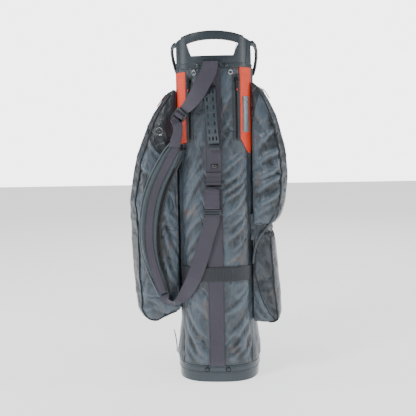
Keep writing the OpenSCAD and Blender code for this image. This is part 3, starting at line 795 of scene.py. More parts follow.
    @staticmethod
    def stitches(name: str, line: Sequence[tuple[Vector, Vector]], pitch: float = 0.0042,
                 length: float = 0.003, radius: float = 0.00045) -> bpy.types.Object:
        """Row of sewn stitches along a line of points and outward normals.

        Args:
            name: its name.
            line: points with the surface's normal at each.
            pitch: distance from stitch to stitch.
            length: length of the thread that shows.
            radius: half the thread's thickness.

        Returns:
            One mesh of small thread humps.
        """
        shape = bmesh.new()
        run = arc_run([p for p, _ in line])
        flat = np.array([(*p, *n) for p, n in line])
        count = max(1, int(run[-1] / pitch))
        for i in range(count):
            ends = []
            for s in ((i + 0.5) * pitch - length / 2, (i + 0.5) * pitch + length / 2):
                ends.append([float(np.interp(s, run, flat[:, k])) for k in range(6)])
            a, b = Vector(ends[0][:3]), Vector(ends[1][:3])
            up = Vector(ends[0][3:]).normalized()
            side = (b - a).cross(up).normalized() * radius
            mid = (a + b) / 2 + up * radius * 1.3
            rings = []
            for centre, size in ((a, 0.45), (mid, 1.0), (b, 0.45)):
                rings.append([shape.verts.new(centre + side * size * c + up * radius * size * s)
                              for c, s in ((1, 0), (0, 1), (-1, 0), (0, -1))])
            for low, high in zip(rings, rings[1:]):
                for k in range(4):
                    shape.faces.new((low[k], low[(k + 1) % 4], high[(k + 1) % 4], high[k]))
            shape.faces.new(rings[0][::-1])
            shape.faces.new(rings[2])
        mesh = bpy.data.meshes.new(name)
        shape.to_mesh(mesh)
        shape.free()
        piece = bpy.data.objects.new(name, mesh)
        bpy.context.scene.collection.objects.link(piece)
        Bench.edit(piece, lambda: bpy.ops.mesh.normals_make_consistent(inside=False))
        return Bench.smooth(piece, 60.0)


def puff(piece: bpy.types.Object, voxel: float, cap: float, pressure: float = 4.0,
         shrink: float = 0.0) -> bpy.types.Object:
    """Inflates a closed cloth piece by simulation and keeps each point within a cap.

    Args:
        piece: the closed mesh.
        voxel: cell size of the remesh, in metres.
        cap: the furthest that a point may move, in metres.
        pressure: air pressure inside.
        shrink: how far the start shape is pulled in, in metres.

    Returns:
        The piece with its simulated shape.
    """
    Bench.modify(piece, "REMESH", mode="VOXEL", voxel_size=voxel, use_smooth_shade=True)
    if shrink:
        Bench.modify(piece, "DISPLACE", strength=-shrink, mid_level=0.0, direction="NORMAL")
    before = points_of(piece.data)
    cloth = piece.modifiers.new("Cloth", "CLOTH")
    cloth.settings.quality = 4
    cloth.settings.mass = 0.2
    cloth.settings.tension_stiffness = 12.0
    cloth.settings.compression_stiffness = 6.0
    cloth.settings.bending_stiffness = 0.15
    cloth.settings.use_pressure = True
    cloth.settings.uniform_pressure_force = pressure
    cloth.settings.effector_weights.gravity = 0.0
    cloth.collision_settings.use_collision = False
    cloth.point_cache.frame_start = 1
    cloth.point_cache.frame_end = 20
    scene = bpy.context.scene
    for number in range(1, 21):
        scene.frame_set(number)
    Bench.pick(piece)
    bpy.ops.object.modifier_apply(modifier="Cloth")
    scene.frame_set(1)
    move = points_of(piece.data) - before
    reach = np.linalg.norm(move, axis=1, keepdims=True)
    reach[reach < 1e-9] = 1e-9
    move_points(piece.data, before + move * (cap * np.tanh(reach / cap) / reach))
    return piece


@dataclass(frozen=True)
class Fold:
    """One soft crease on a surface: a ridge from one point to another, in millimetres."""

    start: tuple[float, float]
    end: tuple[float, float]
    width: float
    height: float
    bow: float = 0.0

    def rise(self, s: float, z: float) -> float:
        """Height of the crease at a point, in millimetres."""
        ax, az = self.start
        dx, dz = self.end[0] - ax, self.end[1] - az
        size = dx * dx + dz * dz
        t = ((s - ax) * dx + (z - az) * dz) / size
        if t <= 0.0 or t >= 1.0:
            return 0.0
        length = math.sqrt(size)
        side = ((s - ax) * dz - (z - az) * dx) / length - self.bow * 4.0 * t * (1.0 - t)
        if abs(side) > 3.2 * self.width:
            return 0.0
        q = side / self.width
        crease = math.exp(-q * q) - 0.45 * math.exp(-((q - 1.3) ** 2) * 1.2)
        return self.height * crease * math.sin(math.pi * t) ** 0.8


def crumple(s: float, z: float, seed: float, lean: float = 1.0) -> float:
    """Random thin creases and soft hollows of light nylon, in millimetres.

    Args:
        s: distance across, in millimetres.
        z: height, in millimetres.
        seed: picks the pattern.
        lean: 1 leans the creases one way, -1 the other.

    Returns:
        The rise, about -1 to 1.
    """
    u = (s + lean * z * 0.55) * 0.011
    v = (z - lean * s * 0.35) * 0.0065
    bend = noise.noise(Vector((u * 0.8, v * 0.8, seed + 9.0))) * 0.9
    ridge = 1.0 - abs(noise.noise(Vector((u * 1.9 + bend, v * 1.7, seed)))) * 2.6
    fine = 1.0 - abs(noise.noise(Vector((u * 4.6 + bend, v * 3.6 + bend, seed + 4.0)))) * 2.8
    soft = noise.noise(Vector((u, v * 1.4, seed + 7.0)))
    return 0.55 * max(0.0, ridge) ** 3 + 0.22 * max(0.0, fine) ** 3 + 0.6 * soft - 0.1


# ---------------------------------------------------------------- sub-assemblies


@dataclass
class SubAssembly:
    """A named group of pieces that share a paint box."""

    paint: Paint
    pieces: list[bpy.types.Object] = field(default_factory=list)

    def add(self, piece: bpy.types.Object, finish: Finish, body: str = "bag",
            *nodes: str) -> bpy.types.Object:
        """Dresses a piece, ties it to its body and reports it.

        Args:
            piece: the finished mesh.
            finish: its finish.
            body: the body that it rides on, or an empty text for a blended piece.
            nodes: CAD nodes that it stands for.

        Returns:
            The same piece.
        """
        self.paint.on(piece, finish)
        if nodes:
            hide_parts(*nodes)
        if body:
            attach(piece, body)
        self.pieces.append(piece)
        LOG.info("%s: %d faces, %s", piece.name, len(piece.data.polygons), finish.name.lower())
        return piece

    def refined(self, node: str, finish: Finish, body: str = "bag", bevel: float = 0.0008,
                segments: int = 2, name: str = "") -> bpy.types.Object:
        """Adds the rounded version of a moulded CAD node, under the node's name or another."""
        return self.add(Bench.refine(node, name or node.title(), bevel, segments), finish, body)

    def strand(self, name: str, places: Sequence[Point], radius: float, finish: Finish,
               closed: bool = False) -> bpy.types.Object:
        """Adds a round cord, bead or thin moulded line of the bag."""
        return self.add(Bench.tube(name, places, radius, 8, closed), finish)


@dataclass
class Base(SubAssembly):
    """Base cup, its band, rivets and the stays that stand in it."""

    rivet_x: float = 0.029
    rivet_z: float = 0.036
    rim_r: float = 0.0064
    band: Oval = Oval(0.115, 0.123)
    lip_z: float = 0.0458
    bead_z: float = 0.0285

    def build(self) -> None:
        """Builds every piece of the base."""
        self.refined("base_cup", Finish.BASE, bevel=0.0016, segments=3)
        self.refined("base_band", Finish.BASE, bevel=0.0012)
        self.refined("base_rivets", Finish.MOULD, bevel=0.0005)
        self.refined("stay_rods", Finish.ROD, bevel=0.0)
        rings = []
        for x in (-self.rivet_x, self.rivet_x):
            centre = self.band.back(x, self.rivet_z, 0.0012)
            out = self.band.normal(x)
            side = Vector((-out.y, out.x, 0.0))
            rim = [centre + side * self.rim_r * math.cos(a)
                   + Vector((0, 0, self.rim_r * math.sin(a))) for a in turns(28)]
            rings.append(Bench.tube("ring", rim, 0.0007, 8, True))
        self.add(Bench.join(rings, "Base_Rivet_Rims"), Finish.PIPING)
        lip = [trunk_at(0.0465).at(a, self.lip_z) for a in even_angles(160)]
        self.strand("Base_Lip_Piping", lip, 0.0019, Finish.BASE, True)
        lower = [self.band.at(a, self.bead_z) for a in even_angles(160)]
        self.strand("Base_Band_Bead", lower, 0.0009, Finish.BASE, True)
        oval = Oval(0.1155, 0.1235)
        mark = [(oval.back(x * MM, z * MM, 0.0002), oval.normal(x * MM))
                for x, z in ((41, 31.5), (49, 40.5))]
        self.add(Bench.stitches("Base_Bartack", mark, 0.002, 0.0019, 0.0005), Finish.PALE_THREAD)


TRUNK_FOLDS = (
    Fold((26, 762), (58, 798), 5, 1.3), Fold((24, 735), (50, 790), 4, 0.8),
    Fold((30, 690), (52, 740), 5, 0.9), Fold((24, 640), (60, 700), 6, 0.8),
    Fold((20, 545), (98, 612), 7, 2.0, 5), Fold((22, 522), (100, 578), 6, 1.8, 4),
    Fold((24, 575), (84, 625), 5, 1.5, -3), Fold((22, 500), (96, 552), 5, 1.5, 5),
    Fold((26, 462), (99, 530), 7, 1.9, 6), Fold((38, 430), (96, 480), 6, 1.4, 3),
    Fold((24, 392), (97, 455), 7, 1.5, 6), Fold((40, 360), (96, 410), 6, 1.2, 4),
    Fold((24, 330), (80, 372), 6, 1.0, 3), Fold((30, 600), (96, 650), 6, 1.0, -4),
    Fold((-94, 470), (-26, 590), 8, 2.0, -6), Fold((-92, 440), (-24, 520), 6, 1.6, -5),
    Fold((-94, 400), (-26, 470), 7, 1.6, -5), Fold((-90, 352), (-24, 432), 7, 1.5, -5),
    Fold((-90, 330), (-30, 380), 6, 1.1, -3), Fold((-60, 560), (-24, 625), 5, 1.2, -3),
    Fold((-90, 520), (-50, 620), 6, 1.2, 4), Fold((-50, 640), (-24, 700), 5, 0.7, 0),
    Fold((-98, 182), (-22, 66), 7, 2.4, 6), Fold((-96, 150), (-52, 60), 6, 2.2, 4),
    Fold((-92, 225), (-24, 118), 7, 1.9, 7), Fold((-94, 120), (-74, 58), 5, 1.9, 2),
    Fold((-70, 270), (-22, 180), 6, 1.2, 4), Fold((-98, 255), (-40, 200), 6, 1.2, 3),
    Fold((118, 215), (30, 122), 8, 2.2, -8), Fold((112, 176), (34, 82), 7, 2.0, -7),
    Fold((104, 262), (26, 190), 7, 1.6, -7), Fold((108, 128), (60, 62), 6, 1.9, -5),
    Fold((80, 110), (26, 60), 6, 1.4, -4), Fold((96, 272), (50, 236), 6, 1.1, -3),
)


@dataclass
class Trunk(SubAssembly):
    """Fabric body with its seams, tapes, band, handle and rear zips."""

    skin_columns: int = 176
    skin_rows: int = 200
    foot_z: float = 0.0442
    head_z: float = 0.857
    seam_s: float = 101.0
    seam_x: float = 0.0972
    seam_cord_x: float = 0.0955
    spine_half: float = 21.5
    zip_x: float = 61.5
    pull_length: float = 28.0

    def rise(self, s: float, z: float, back: bool) -> float:
        """How far the fabric stands out at a place, in metres.

        Args:
            s: distance round from the rear middle, in millimetres, positive to the right.
            z: height, in millimetres.
            back: whether the place is on the rear half.

        Returns:
            The rise; below zero is a hollow.
        """
        value = crumple(s, z, 3.0, 1.0 if s > 0 else -1.0) * 2.0
        if back:
            value += sum(fold.rise(s, z) for fold in TRUNK_FOLDS) * 1.8
        away = abs(abs(s) - self.seam_s)
        seam = -1.3 * math.exp(-((away / 2.0) ** 2)) + 0.5 * math.exp(-(((away - 4.0) / 1.6) ** 2))
        value *= smooth_step(away, 0.5, 9.0)
        if back:
            value *= smooth_step(abs(s), 18.0, 30.0)
            if z > 628:
                value *= 1.0 - 0.94 * smooth_step(abs(s), 47.0, 53.0)
            if 270 < z < 332:
                value *= 1.0 - 0.9 * smooth_step(31 - abs(z - 301), 0.0, 9.0)
        value += seam
        value *= smooth_step(z, 44.0, 62.0) * (1.0 - smooth_step(z, 835.0, 852.0))
        if z < 175:
            value += 0.9 * smooth_step(175 - z, 0, 60) * math.sin(s * 0.16 + z * 0.03) \
                * smooth_step(z, 44.0, 60.0) * smooth_step(abs(s) if back else 60.0, 24.0, 40.0)
        return 4.2 * math.tanh(value / 4.2) * MM

    def skin(self) -> None:
        """Builds the fabric tube."""
        angles = even_angles(self.skin_columns)
        around = [TRUNK.at(a, 0.0) for a in angles]
        step = [(around[(i + 1) % len(around)] - p).length for i, p in enumerate(around)]
        run = np.concatenate(([0.0], np.cumsum(step)))
        total = run[-1]
        fine = list(angles) + [angles[0] + 2 * math.pi]

        def place(u: float, v: float) -> Vector:
            i = int(round(u * self.skin_columns))
            z = self.foot_z + (self.head_z - self.foot_z) * v
            oval = trunk_at(z)
            point = oval.at(fine[i], z)
            out = Vector((math.copysign(abs(point.x / oval.hx) ** 1.8 / oval.hx, point.x),
                          math.copysign(abs(point.y / oval.hy) ** 1.8 / oval.hy, point.y),
                          0.0)).normalized()
            front_run = run[i] if run[i] <= total / 2 else run[i] - total
            turn = total / 2 - abs(front_run)
            s = -math.copysign(turn, front_run) / MM
            rise = self.rise(s, z / MM, point.y < 0)
            heights.append(rise / (2.6 * MM))
            return point + out * rise

        heights: list[float] = []
        sheet = Bench.grid("Trunk_Skin", self.skin_columns, self.skin_rows, place)
        Bench.folded(sheet, heights[:len(sheet.data.vertices)])
        Bench.edit(sheet, lambda: bpy.ops.mesh.remove_doubles(threshold=0.00005),
                   lambda: bpy.ops.mesh.normals_make_consistent(inside=False))
        Bench.thicken(sheet, 0.0022, -1.0)
        self.add(sheet, Finish.TRUNK, "bag", "trunk_shell")
        for side, label in ((-1, "Left"), (1, "Right")):
            x = side * self.seam_x
            line = [(trunk_at(z).back(x, z, 0.0006), trunk_at(z).normal(x))
                    for z in np.linspace(0.05, 0.626, 160)]
            self.add(Bench.stitches(f"Trunk_Seam_Stitches_{label}", line), Finish.PALE_THREAD)
            x = side * self.seam_cord_x
            cord = [trunk_at(z).back(x, z, -0.0002) for z in np.linspace(0.048, 0.63, 120)]
            self.strand(f"Trunk_Seam_Piping_{label}", cord, 0.0007, Finish.PIPING)
        hem = [TRUNK.at(a, 0.8535) for a in even_angles(180)]
        self.strand("Trunk_Top_Hem", hem, 0.0014, Finish.PIPING, True)
        for name, z, off, reach, count in (("Top", 0.8485, 0.0003, 70, 60),
                                           ("Base", 0.052, 0.0004, 105, 120)):
            oval = trunk_at(z)
            row = [(oval.back(x * MM, z, off), oval.normal(x * MM))
                   for x in np.linspace(-reach, reach, count)]
            self.add(Bench.stitches(f"Trunk_{name}_Stitches", row), Finish.PALE_THREAD)

    def tape(self, name: str, x0: float, x1: float, z0: float, z1: float, off: float,
             depth: float, cells: tuple[int, int] = (10, 60),
             trim: Callable[[float], float] | None = None) -> bpy.types.Object:
        """Flat tape on the trunk's rear face, from sizes in millimetres.

        Args:
            name: its name.
            x0: left edge.
            x1: right edge.
            z0: lower end.
            z1: upper end.
            off: clearance from the fabric.
            depth: thickness.
            cells: cells across and along.
            trim: the lower end's height for a share across, where it isn't square.

        Returns:
            The tape.
        """
        def place(u: float, v: float) -> Vector:
            x = (x0 + (x1 - x0) * u) * MM
            low = trim(u) if trim else z0
            z = (low + (z1 - low) * v) * MM
            wave = 0.00022 * math.sin(z * 90 + x * 60) * (1.0 if depth > 1 else 0.0)
            return trunk_at(z).back(x, z, (off + depth / 2) * MM + wave)
        return Bench.thicken(Bench.grid(name, *cells, place), depth * MM, 0.0, 0.0003)

    def sewn(self, name: str, x: float, z0: float, z1: float, off: float,
             finish: Finish = Finish.THREAD) -> None:
        """Vertical row of stitches on the rear face, in millimetres."""
        line = [(trunk_at(z * MM).back(x * MM, z * MM, off * MM), trunk_at(z * MM).normal(x * MM))
                for z in np.linspace(z0, z1, 100)]
        self.add(Bench.stitches(name, line), finish)

    def spine(self) -> None:
        """Webbing up the spine, its stitches, the band, handle, keeper and patch."""
        web = self.tape("Spine_Webbing", -self.spine_half, self.spine_half, 45, 857, 0.5, 1.4,
                        (12, 200))
        self.add(web, Finish.VIOLET, "bag", "spine_webbing")
        for x, label in ((-19.2, "Left"), (19.2, "Right")):
            self.sewn(f"Spine_Stitches_{label}", x, 46, 856, 1.95)
        band = self.tape("Cart_Band", -92, 92, 281, 321, 2.2, 1.5, (70, 10))
        self.add(band, Finish.TRIM, "bag", "cart_strap_band")
        self.sewn("Cart_Band_Stitches", 45, 283, 319, 3.8, Finish.PALE_THREAD)
        self.sewn("Cart_Band_Tack_Left", -89.5, 283, 319, 3.8)
        self.sewn("Cart_Band_Tack_Right", 89.5, 283, 319, 3.8)
        self.refined("grab_handle", Finish.TPU, bevel=0.0008)
        self.refined("grab_handle_keeper", Finish.BUCKLE, bevel=0.0008)
        self.refined("blank_patch", Finish.PATCH, bevel=0.0004)
        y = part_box("blank_patch")[0].y
        oval = [Vector((1 * MM + 5.4 * MM * math.cos(a), y - 0.0002,
                        0.5945 + 2.6 * MM * math.sin(a))) for a in turns(32)]
        self.strand("Patch_Oval", oval, 0.0004, Finish.EYELET, True)

    def tapes(self) -> None:
        """Orange tapes, the plain label and the rear zips."""
        right = self.tape("Accent_Tape_Right", 71, 100, 632, 856, 0.7, 1.3, (14, 60),
                          lambda u: 671 - 45 * smooth_step(u, -0.2, 0.9) if u < 0.86
                          else 636 + 70 * (u - 0.86))
        self.add(right, Finish.ACCENT, "bag", "accent_tape_right")
        left = self.tape("Accent_Tape_Left", -100, -71, 655, 846, 0.7, 1.3, (14, 60),
                         lambda u: 655 + 12 * abs(u - 0.5))
        self.add(left, Finish.ACCENT, "bag", "accent_tape_left")
        label = self.tape("Accent_Label", 78, 93, 684, 780, 2.2, 0.8, (8, 30))
        self.add(label, Finish.LABEL, "bag", "accent_label")
        edge = [TRUNK.back(x * MM, z * MM, 0.0033) for x, z in
                [(79.5, 687), (79.5, 777), (91.5, 777), (91.5, 687)]]
        self.add(Bench.tube("Label_Border", edge, 0.0004, 4, True), Finish.SCREW)
        ring = [TRUNK.back((85.5 + 4 * math.cos(a)) * MM, (768 + 4 * math.sin(a)) * MM, 0.0033)
                for a in turns(28)]
        self.strand("Label_Ring", ring, 0.0005, Finish.EYELET, True)
        for side, end, low, high in ((1, "Right", 668, 852), (-1, "Left", 664, 842)):
            for x in (73.0, 98.0):
                line = [(TRUNK.back(side * x * MM, z * MM, 0.0021), TRUNK.normal(side * x * MM))
                        for z in np.linspace(low, high, 60)]
                self.add(Bench.stitches(f"Accent_Stitches_{end}_{int(x)}", line,
                                        0.0036, 0.0026, 0.00035), Finish.ACCENT)
            for z in (836, 830):
                row = [(TRUNK.back(side * x * MM, z * MM, 0.0021), TRUNK.normal(side * x * MM))
                       for x in np.linspace(74, 97, 12)]
                self.add(Bench.stitches(f"Accent_Tack_{end}_{z}", row, 0.0036, 0.0026, 0.00035),
                         Finish.ACCENT)

    def zips(self) -> None:
        """Rear zips: tape, teeth, a dark flap, sliders and wire pulls."""
        tapes = []
        for side, label in ((-1, "left"), (1, "right")):
            x = side * self.zip_x
            tapes.append(self.tape("tape", x - 8, x + 8, 664, 836, 0.45, 1.0, (6, 50)))
            for k in (-1, 1):
                line = [(TRUNK.back((x + k * 1.1) * MM, z * MM, 0.0013), TRUNK.normal(x * MM))
                        for z in np.linspace(668, 832, 60)]
                teeth = Bench.stitches(f"Rear_Zip_Teeth_{label}_{'ab'[k > 0]}", line, 0.0019,
                                       0.0013, 0.0011)
                self.add(teeth, Finish.SLIDER)
            flap_x = (x + side * 2.0, x + side * 9.5) if side > 0 else (x - 9.5, x - 2.0)
            flap = self.tape(f"Rear_Zip_Flap_{label}", *flap_x, 662, 838, 1.9, 0.9, (5, 50))
            self.add(flap, Finish.TRIM)
            body = f"rear_zip_{label}"
            self.refined(f"rear_zip_slider_{label}", Finish.SLIDER, f"{body}_slider", 0.0005,
                         name=f"Rear_Zip_Slider_{label}")
            place = Matrix.Translation(TRUNK.back(x * MM, 0.822, 0.0017)) @ Matrix.Rotation(
                math.atan2(TRUNK.normal(x * MM).x, -TRUNK.normal(x * MM).y), 4, "Z")
            cord = pull_loop(f"Rear_Zip_Pull_{label}", place, self.pull_length)
            self.add(cord, Finish.PULL_BLACK, f"{body}_pull", f"rear_zip_pull_{label}")
            wrap = pull_wrap(f"Rear_Zip_Pull_Tip_{label}", place, self.pull_length, 0.6)
            self.add(wrap, Finish.PULL_RED, f"{body}_pull")
        self.add(Bench.join(tapes, "Rear_Zip_Tapes"), Finish.ZIP, "bag", "rear_zip_tapes")

    def build(self) -> None:
        """Builds the trunk's pieces in order."""
        self.skin()
        self.spine()
        self.tapes()
        self.zips()


def pull_loop(name: str, place: Matrix, length: float, cord_r: float = 0.001) -> bpy.types.Object:
    """Wire bail and cord loop of a zip pull.

    Args:
        name: its name.
        place: turns the slider's own axes, outwards along -Y, into the bag's.
        length: the pull's length in millimetres.
        cord_r: half the cord's thickness.

    Returns:
        The loop.
    """
    pivot = 5.6
    bail = [(-2.3, -pivot, 1.3), (-2.5, -pivot - 0.6, -1.5), (-2.2, -pivot - 0.9, -5.0),
            (0.0, -pivot - 1.0, -6.2), (2.2, -pivot - 0.9, -5.0), (2.5, -pivot - 0.6, -1.5),
            (2.3, -pivot, 1.3), (0.0, -pivot + 0.1, 1.9)]
    cord = [(-1.2, -pivot - 1.1, -4.6), (-2.0, -pivot - 1.0, -8), (-2.0, -pivot - 1.0, -length + 5),
            (-1.2, -pivot - 1.0, -length + 1.6), (0.0, -pivot - 1.0, -length + 1.1),
            (1.2, -pivot - 1.0, -length + 1.6), (2.0, -pivot - 1.0, -length + 5),
            (2.0, -pivot - 1.0, -8), (1.2, -pivot - 1.1, -4.6), (0.0, -pivot - 1.2, -3.9)]
    parts = []
    for points, radius in ((bail, 0.0005), (cord, cord_r)):
        loop = spline([*points, points[0]], 48)[:-1]
        parts.append(Bench.tube("part", [place @ (Vector(p) * MM) for p in loop], radius, 8, True))
    return Bench.join(parts, name)


def pull_wrap(name: str, place: Matrix, length: float, size: float = 1.0) -> bpy.types.Object:
    """Moulded grip over the end of a pull's cord."""
    block = Bench.block((0.0058 * size, 0.0027, 0.009 * size),
                        (0.0, -0.0066, (-length + 4.8 * size) * MM), 0.0011)
    block.data.transform(place)
    return Bench.name(block, name)


@dataclass
class Top(SubAssembly):
    """Collar, dividers, rear handle, side rails and their fasteners."""

    arch_z: float = 952.0
    arch_drop: float = 18.0
    arch_half: float = 98.0
    plate: Oval = Oval(0.1048, 0.1183)
    grip_face: Oval = Oval(0.1047, 0.1182)
    lip_z: float = 0.8672

    def arch(self, x: float) -> float:
        """Height of the arch's top at x, both in millimetres."""
        return self.arch_z - self.arch_drop * (x / self.arch_half) ** 2

    def build(self) -> None:
        """Builds every piece of the top."""
        self.refined("top_collar", Finish.MOULD, bevel=0.0009)
        self.refined("rear_handle", Finish.MOULD, bevel=0.0018, segments=3)
        self.refined("side_rail_left", Finish.MOULD, bevel=0.0)
        self.refined("side_rail_right", Finish.MOULD, bevel=0.0)
        self.refined("divider_top", Finish.DIVIDER, bevel=0.0011, segments=3)
        self.refined("divider_panels", Finish.LINING, bevel=0.0)
        self.refined("collar_screws", Finish.SCREW, bevel=0.0004)
        self.refined("hood_eyelets", Finish.EYELET, bevel=0.0004)
        self.grip()
        self.ledges()

    def grip(self) -> None:
        """Rubber grip with ridges at both shoulders."""
        self.refined("handle_grip", Finish.GRIP, bevel=0.0010, segments=3)
        oval = self.grip_face
        ridges = []
        for side in (-1, 1):
            for k in range(9):
                x = side * (0.052 + 0.0036 * k)
                z = self.arch(x / MM) * MM
                out = oval.normal(x)
                start = oval.back(x, z - 0.0028, 0.0)
                ridges.append(Bench.tube("ridge", [
                    start, start + Vector((0, 0, 0.0022)) + out * 0.0001,
                    start + Vector((0, 0, 0.0031)) - out * 0.0010,
                    start + Vector((0, 0, 0.0032)) - out * 0.0120], 0.0007, 8))
        self.add(Bench.join(ridges, "Handle_Grip_Ridges"), Finish.GRIP)

    def ledges(self) -> None:
        """Raised lines where the plate meets the uprights, and the collar's lip."""
        oval = self.plate
        lines = []
        inner = ((57, 888), (60, 896), (66, 917), (70, 926))
        outer = ((88, 869), (91, 890), (93, 912), (93, 926))
        for side, edge in ((-1, inner), (-1, outer), (1, inner), (1, outer)):
            lines.append(Bench.tube("line", [oval.back(side * x * MM, z * MM) for x, z in edge],
                                    0.0008, 8, False, 24))
        sill = [(x, 886.4) for x in range(-57, 58, 6)]
        lines.append(Bench.tube("line", [oval.back(x * MM, z * MM) for x, z in sill], 0.0009, 8))
        under = [(x, self.arch(x) - 20.6) for x in range(-68, 69, 4)]
        lines.append(Bench.tube("line", [oval.back(x * MM, z * MM) for x, z in under], 0.0008, 8))
        self.add(Bench.join(lines, "Handle_Edge_Beads"), Finish.MOULD)
        lip = [Oval(0.1046, 0.1181).at(a, self.lip_z) for a in even_angles(180)]
        self.strand("Collar_Lip", lip, 0.0010, Finish.MOULD, True)


def surface(piece: bpy.types.Object) -> BVHTree:
    """Search tree over a piece's mesh."""
    return BVHTree.FromPolygons([v.co for v in piece.data.vertices],
                                [p.vertices for p in piece.data.polygons])


def trunk_gap(point: Vector) -> float:
    """Rough distance of a point outside the trunk, in metres."""
    oval = trunk_at(point.z)
    share = (abs(point.x / oval.hx) ** 2.8 + abs(point.y / oval.hy) ** 2.8) ** (1 / 2.8)
    return (share - 1.0) * math.hypot(point.x, point.y) / max(share, 0.01)


def soften(piece: bpy.types.Object, seed: float, height: float,
           folds: Sequence[Fold], hold: Callable[[Vector], float]) -> bpy.types.Object:
    """Adds folds to a soft piece along its normals.

    Args:
        piece: the simulated piece.
        seed: picks the random creases.
        height: size of the random creases in millimetres.
        folds: creases on the face towards -Y, by x and z in millimetres.
        hold: how free a point is, 0 to 1.

    Returns:
        The piece.
    """
    mesh = piece.data
    mesh.update()
    lean = 1.0 if seed > 20 else -1.0
    heights = []
    for vertex in mesh.vertices:
        co, out = vertex.co, vertex.normal
        s = (co.x + 0.6 * co.y) / MM
        value = crumple(s, co.z / MM, seed, lean) * height
        if out.y < -0.2:
            share = min(1.0, -out.y * 1.5) * 1.9
            value += sum(fold.rise(co.x / MM, co.z / MM) for fold in folds) * share
        place = co + out * value * hold(co) * MM
        if place.x < 0.0 and place.y < -0.087:
            place.y = -0.087 + (place.y + 0.087) * 0.3
        vertex.co = place
        heights.append(value * hold(co) / 3.4)
    Bench.folded(piece, heights)
    mesh.update()
    return piece


LEFT_FOLDS = (
    Fold((-232, 640), (-150, 560), 9, 2.5, 6), Fold((-226, 560), (-196, 430), 8, 2.2, 6),
    Fold((-200, 690), (-120, 600), 8, 1.8, 5), Fold((-150, 700), (-112, 560), 7, 1.8, -5),
    Fold((-140, 520), (-104, 380), 8, 2.6, 6), Fold((-150, 430), (-112, 300), 8, 2.6, -6),
    Fold((-160, 360), (-104, 262), 7, 2.4, 5), Fold((-228, 360), (-200, 210), 8, 1.8, 4),
    Fold((-210, 240), (-130, 190), 7, 2.2, -5), Fold((-180, 208), (-100, 176), 6, 1.8, 3),
    Fold((-130, 470), (-100, 420), 5, 1.8, 0), Fold((-128, 410), (-98, 350), 5, 1.6, 0),
)
RIGHT_FOLDS = (
    Fold((112, 640), (180, 700), 8, 2.8, -6), Fold((116, 600), (188, 636), 8, 3.0, -5),
    Fold((110, 560), (190, 600), 7, 2.8, 5), Fold((112, 520), (188, 566), 7, 2.6, -5),
    Fold((120, 488), (184, 530), 7, 2.2, 5), Fold((108, 460), (160, 496), 6, 2.0, 3),
    Fold((110, 780), (140, 690), 7, 1.8, 5), Fold((140, 770), (176, 660), 8, 1.8, -6),
    Fold((150, 640), (192, 560), 6, 1.6, 4), Fold((106, 690), (150, 650), 6, 1.8, 3),
)
LOW_FOLDS = (
    Fold((104, 395), (118, 270), 6, 2.4, 6), Fold((118, 330), (168, 180), 6, 2.2, -6),
    Fold((104, 250), (150, 170), 6, 2.0, 4), Fold((140, 390), (160, 290), 6, 1.4, 3),
    Fold((100, 200), (140, 158), 5, 1.6, 2),
)


@dataclass(frozen=True)
class Pocket:
    """One side pocket's own sizes, in millimetres."""

    label: str
    side: int
    reach: float
    radius: float
    full_z: float
    zip_high: float
    zip_low: float
    rest_z: float
    pull: float
    folds: tuple[Fold, ...]
    seed: float
    finish: Finish

    def edge_x(self, z: float, out: float = 0.0) -> float:
        """The outer edge's distance from the bag's middle."""
        r = self.radius + out
        return self.reach - self.radius + math.sqrt(r * r - (z - self.full_z) ** 2)


LEFT = Pocket("left", -1, 241, 522.05, 467, 796, 474, 786, 40, LEFT_FOLDS, 11.0,
              Finish.LEFT_POCKET)
RIGHT = Pocket("right", 1, 196, 431.46, 566, 808, 470, 796, 30, RIGHT_FOLDS, 23.0,
               Finish.RIGHT_POCKET)


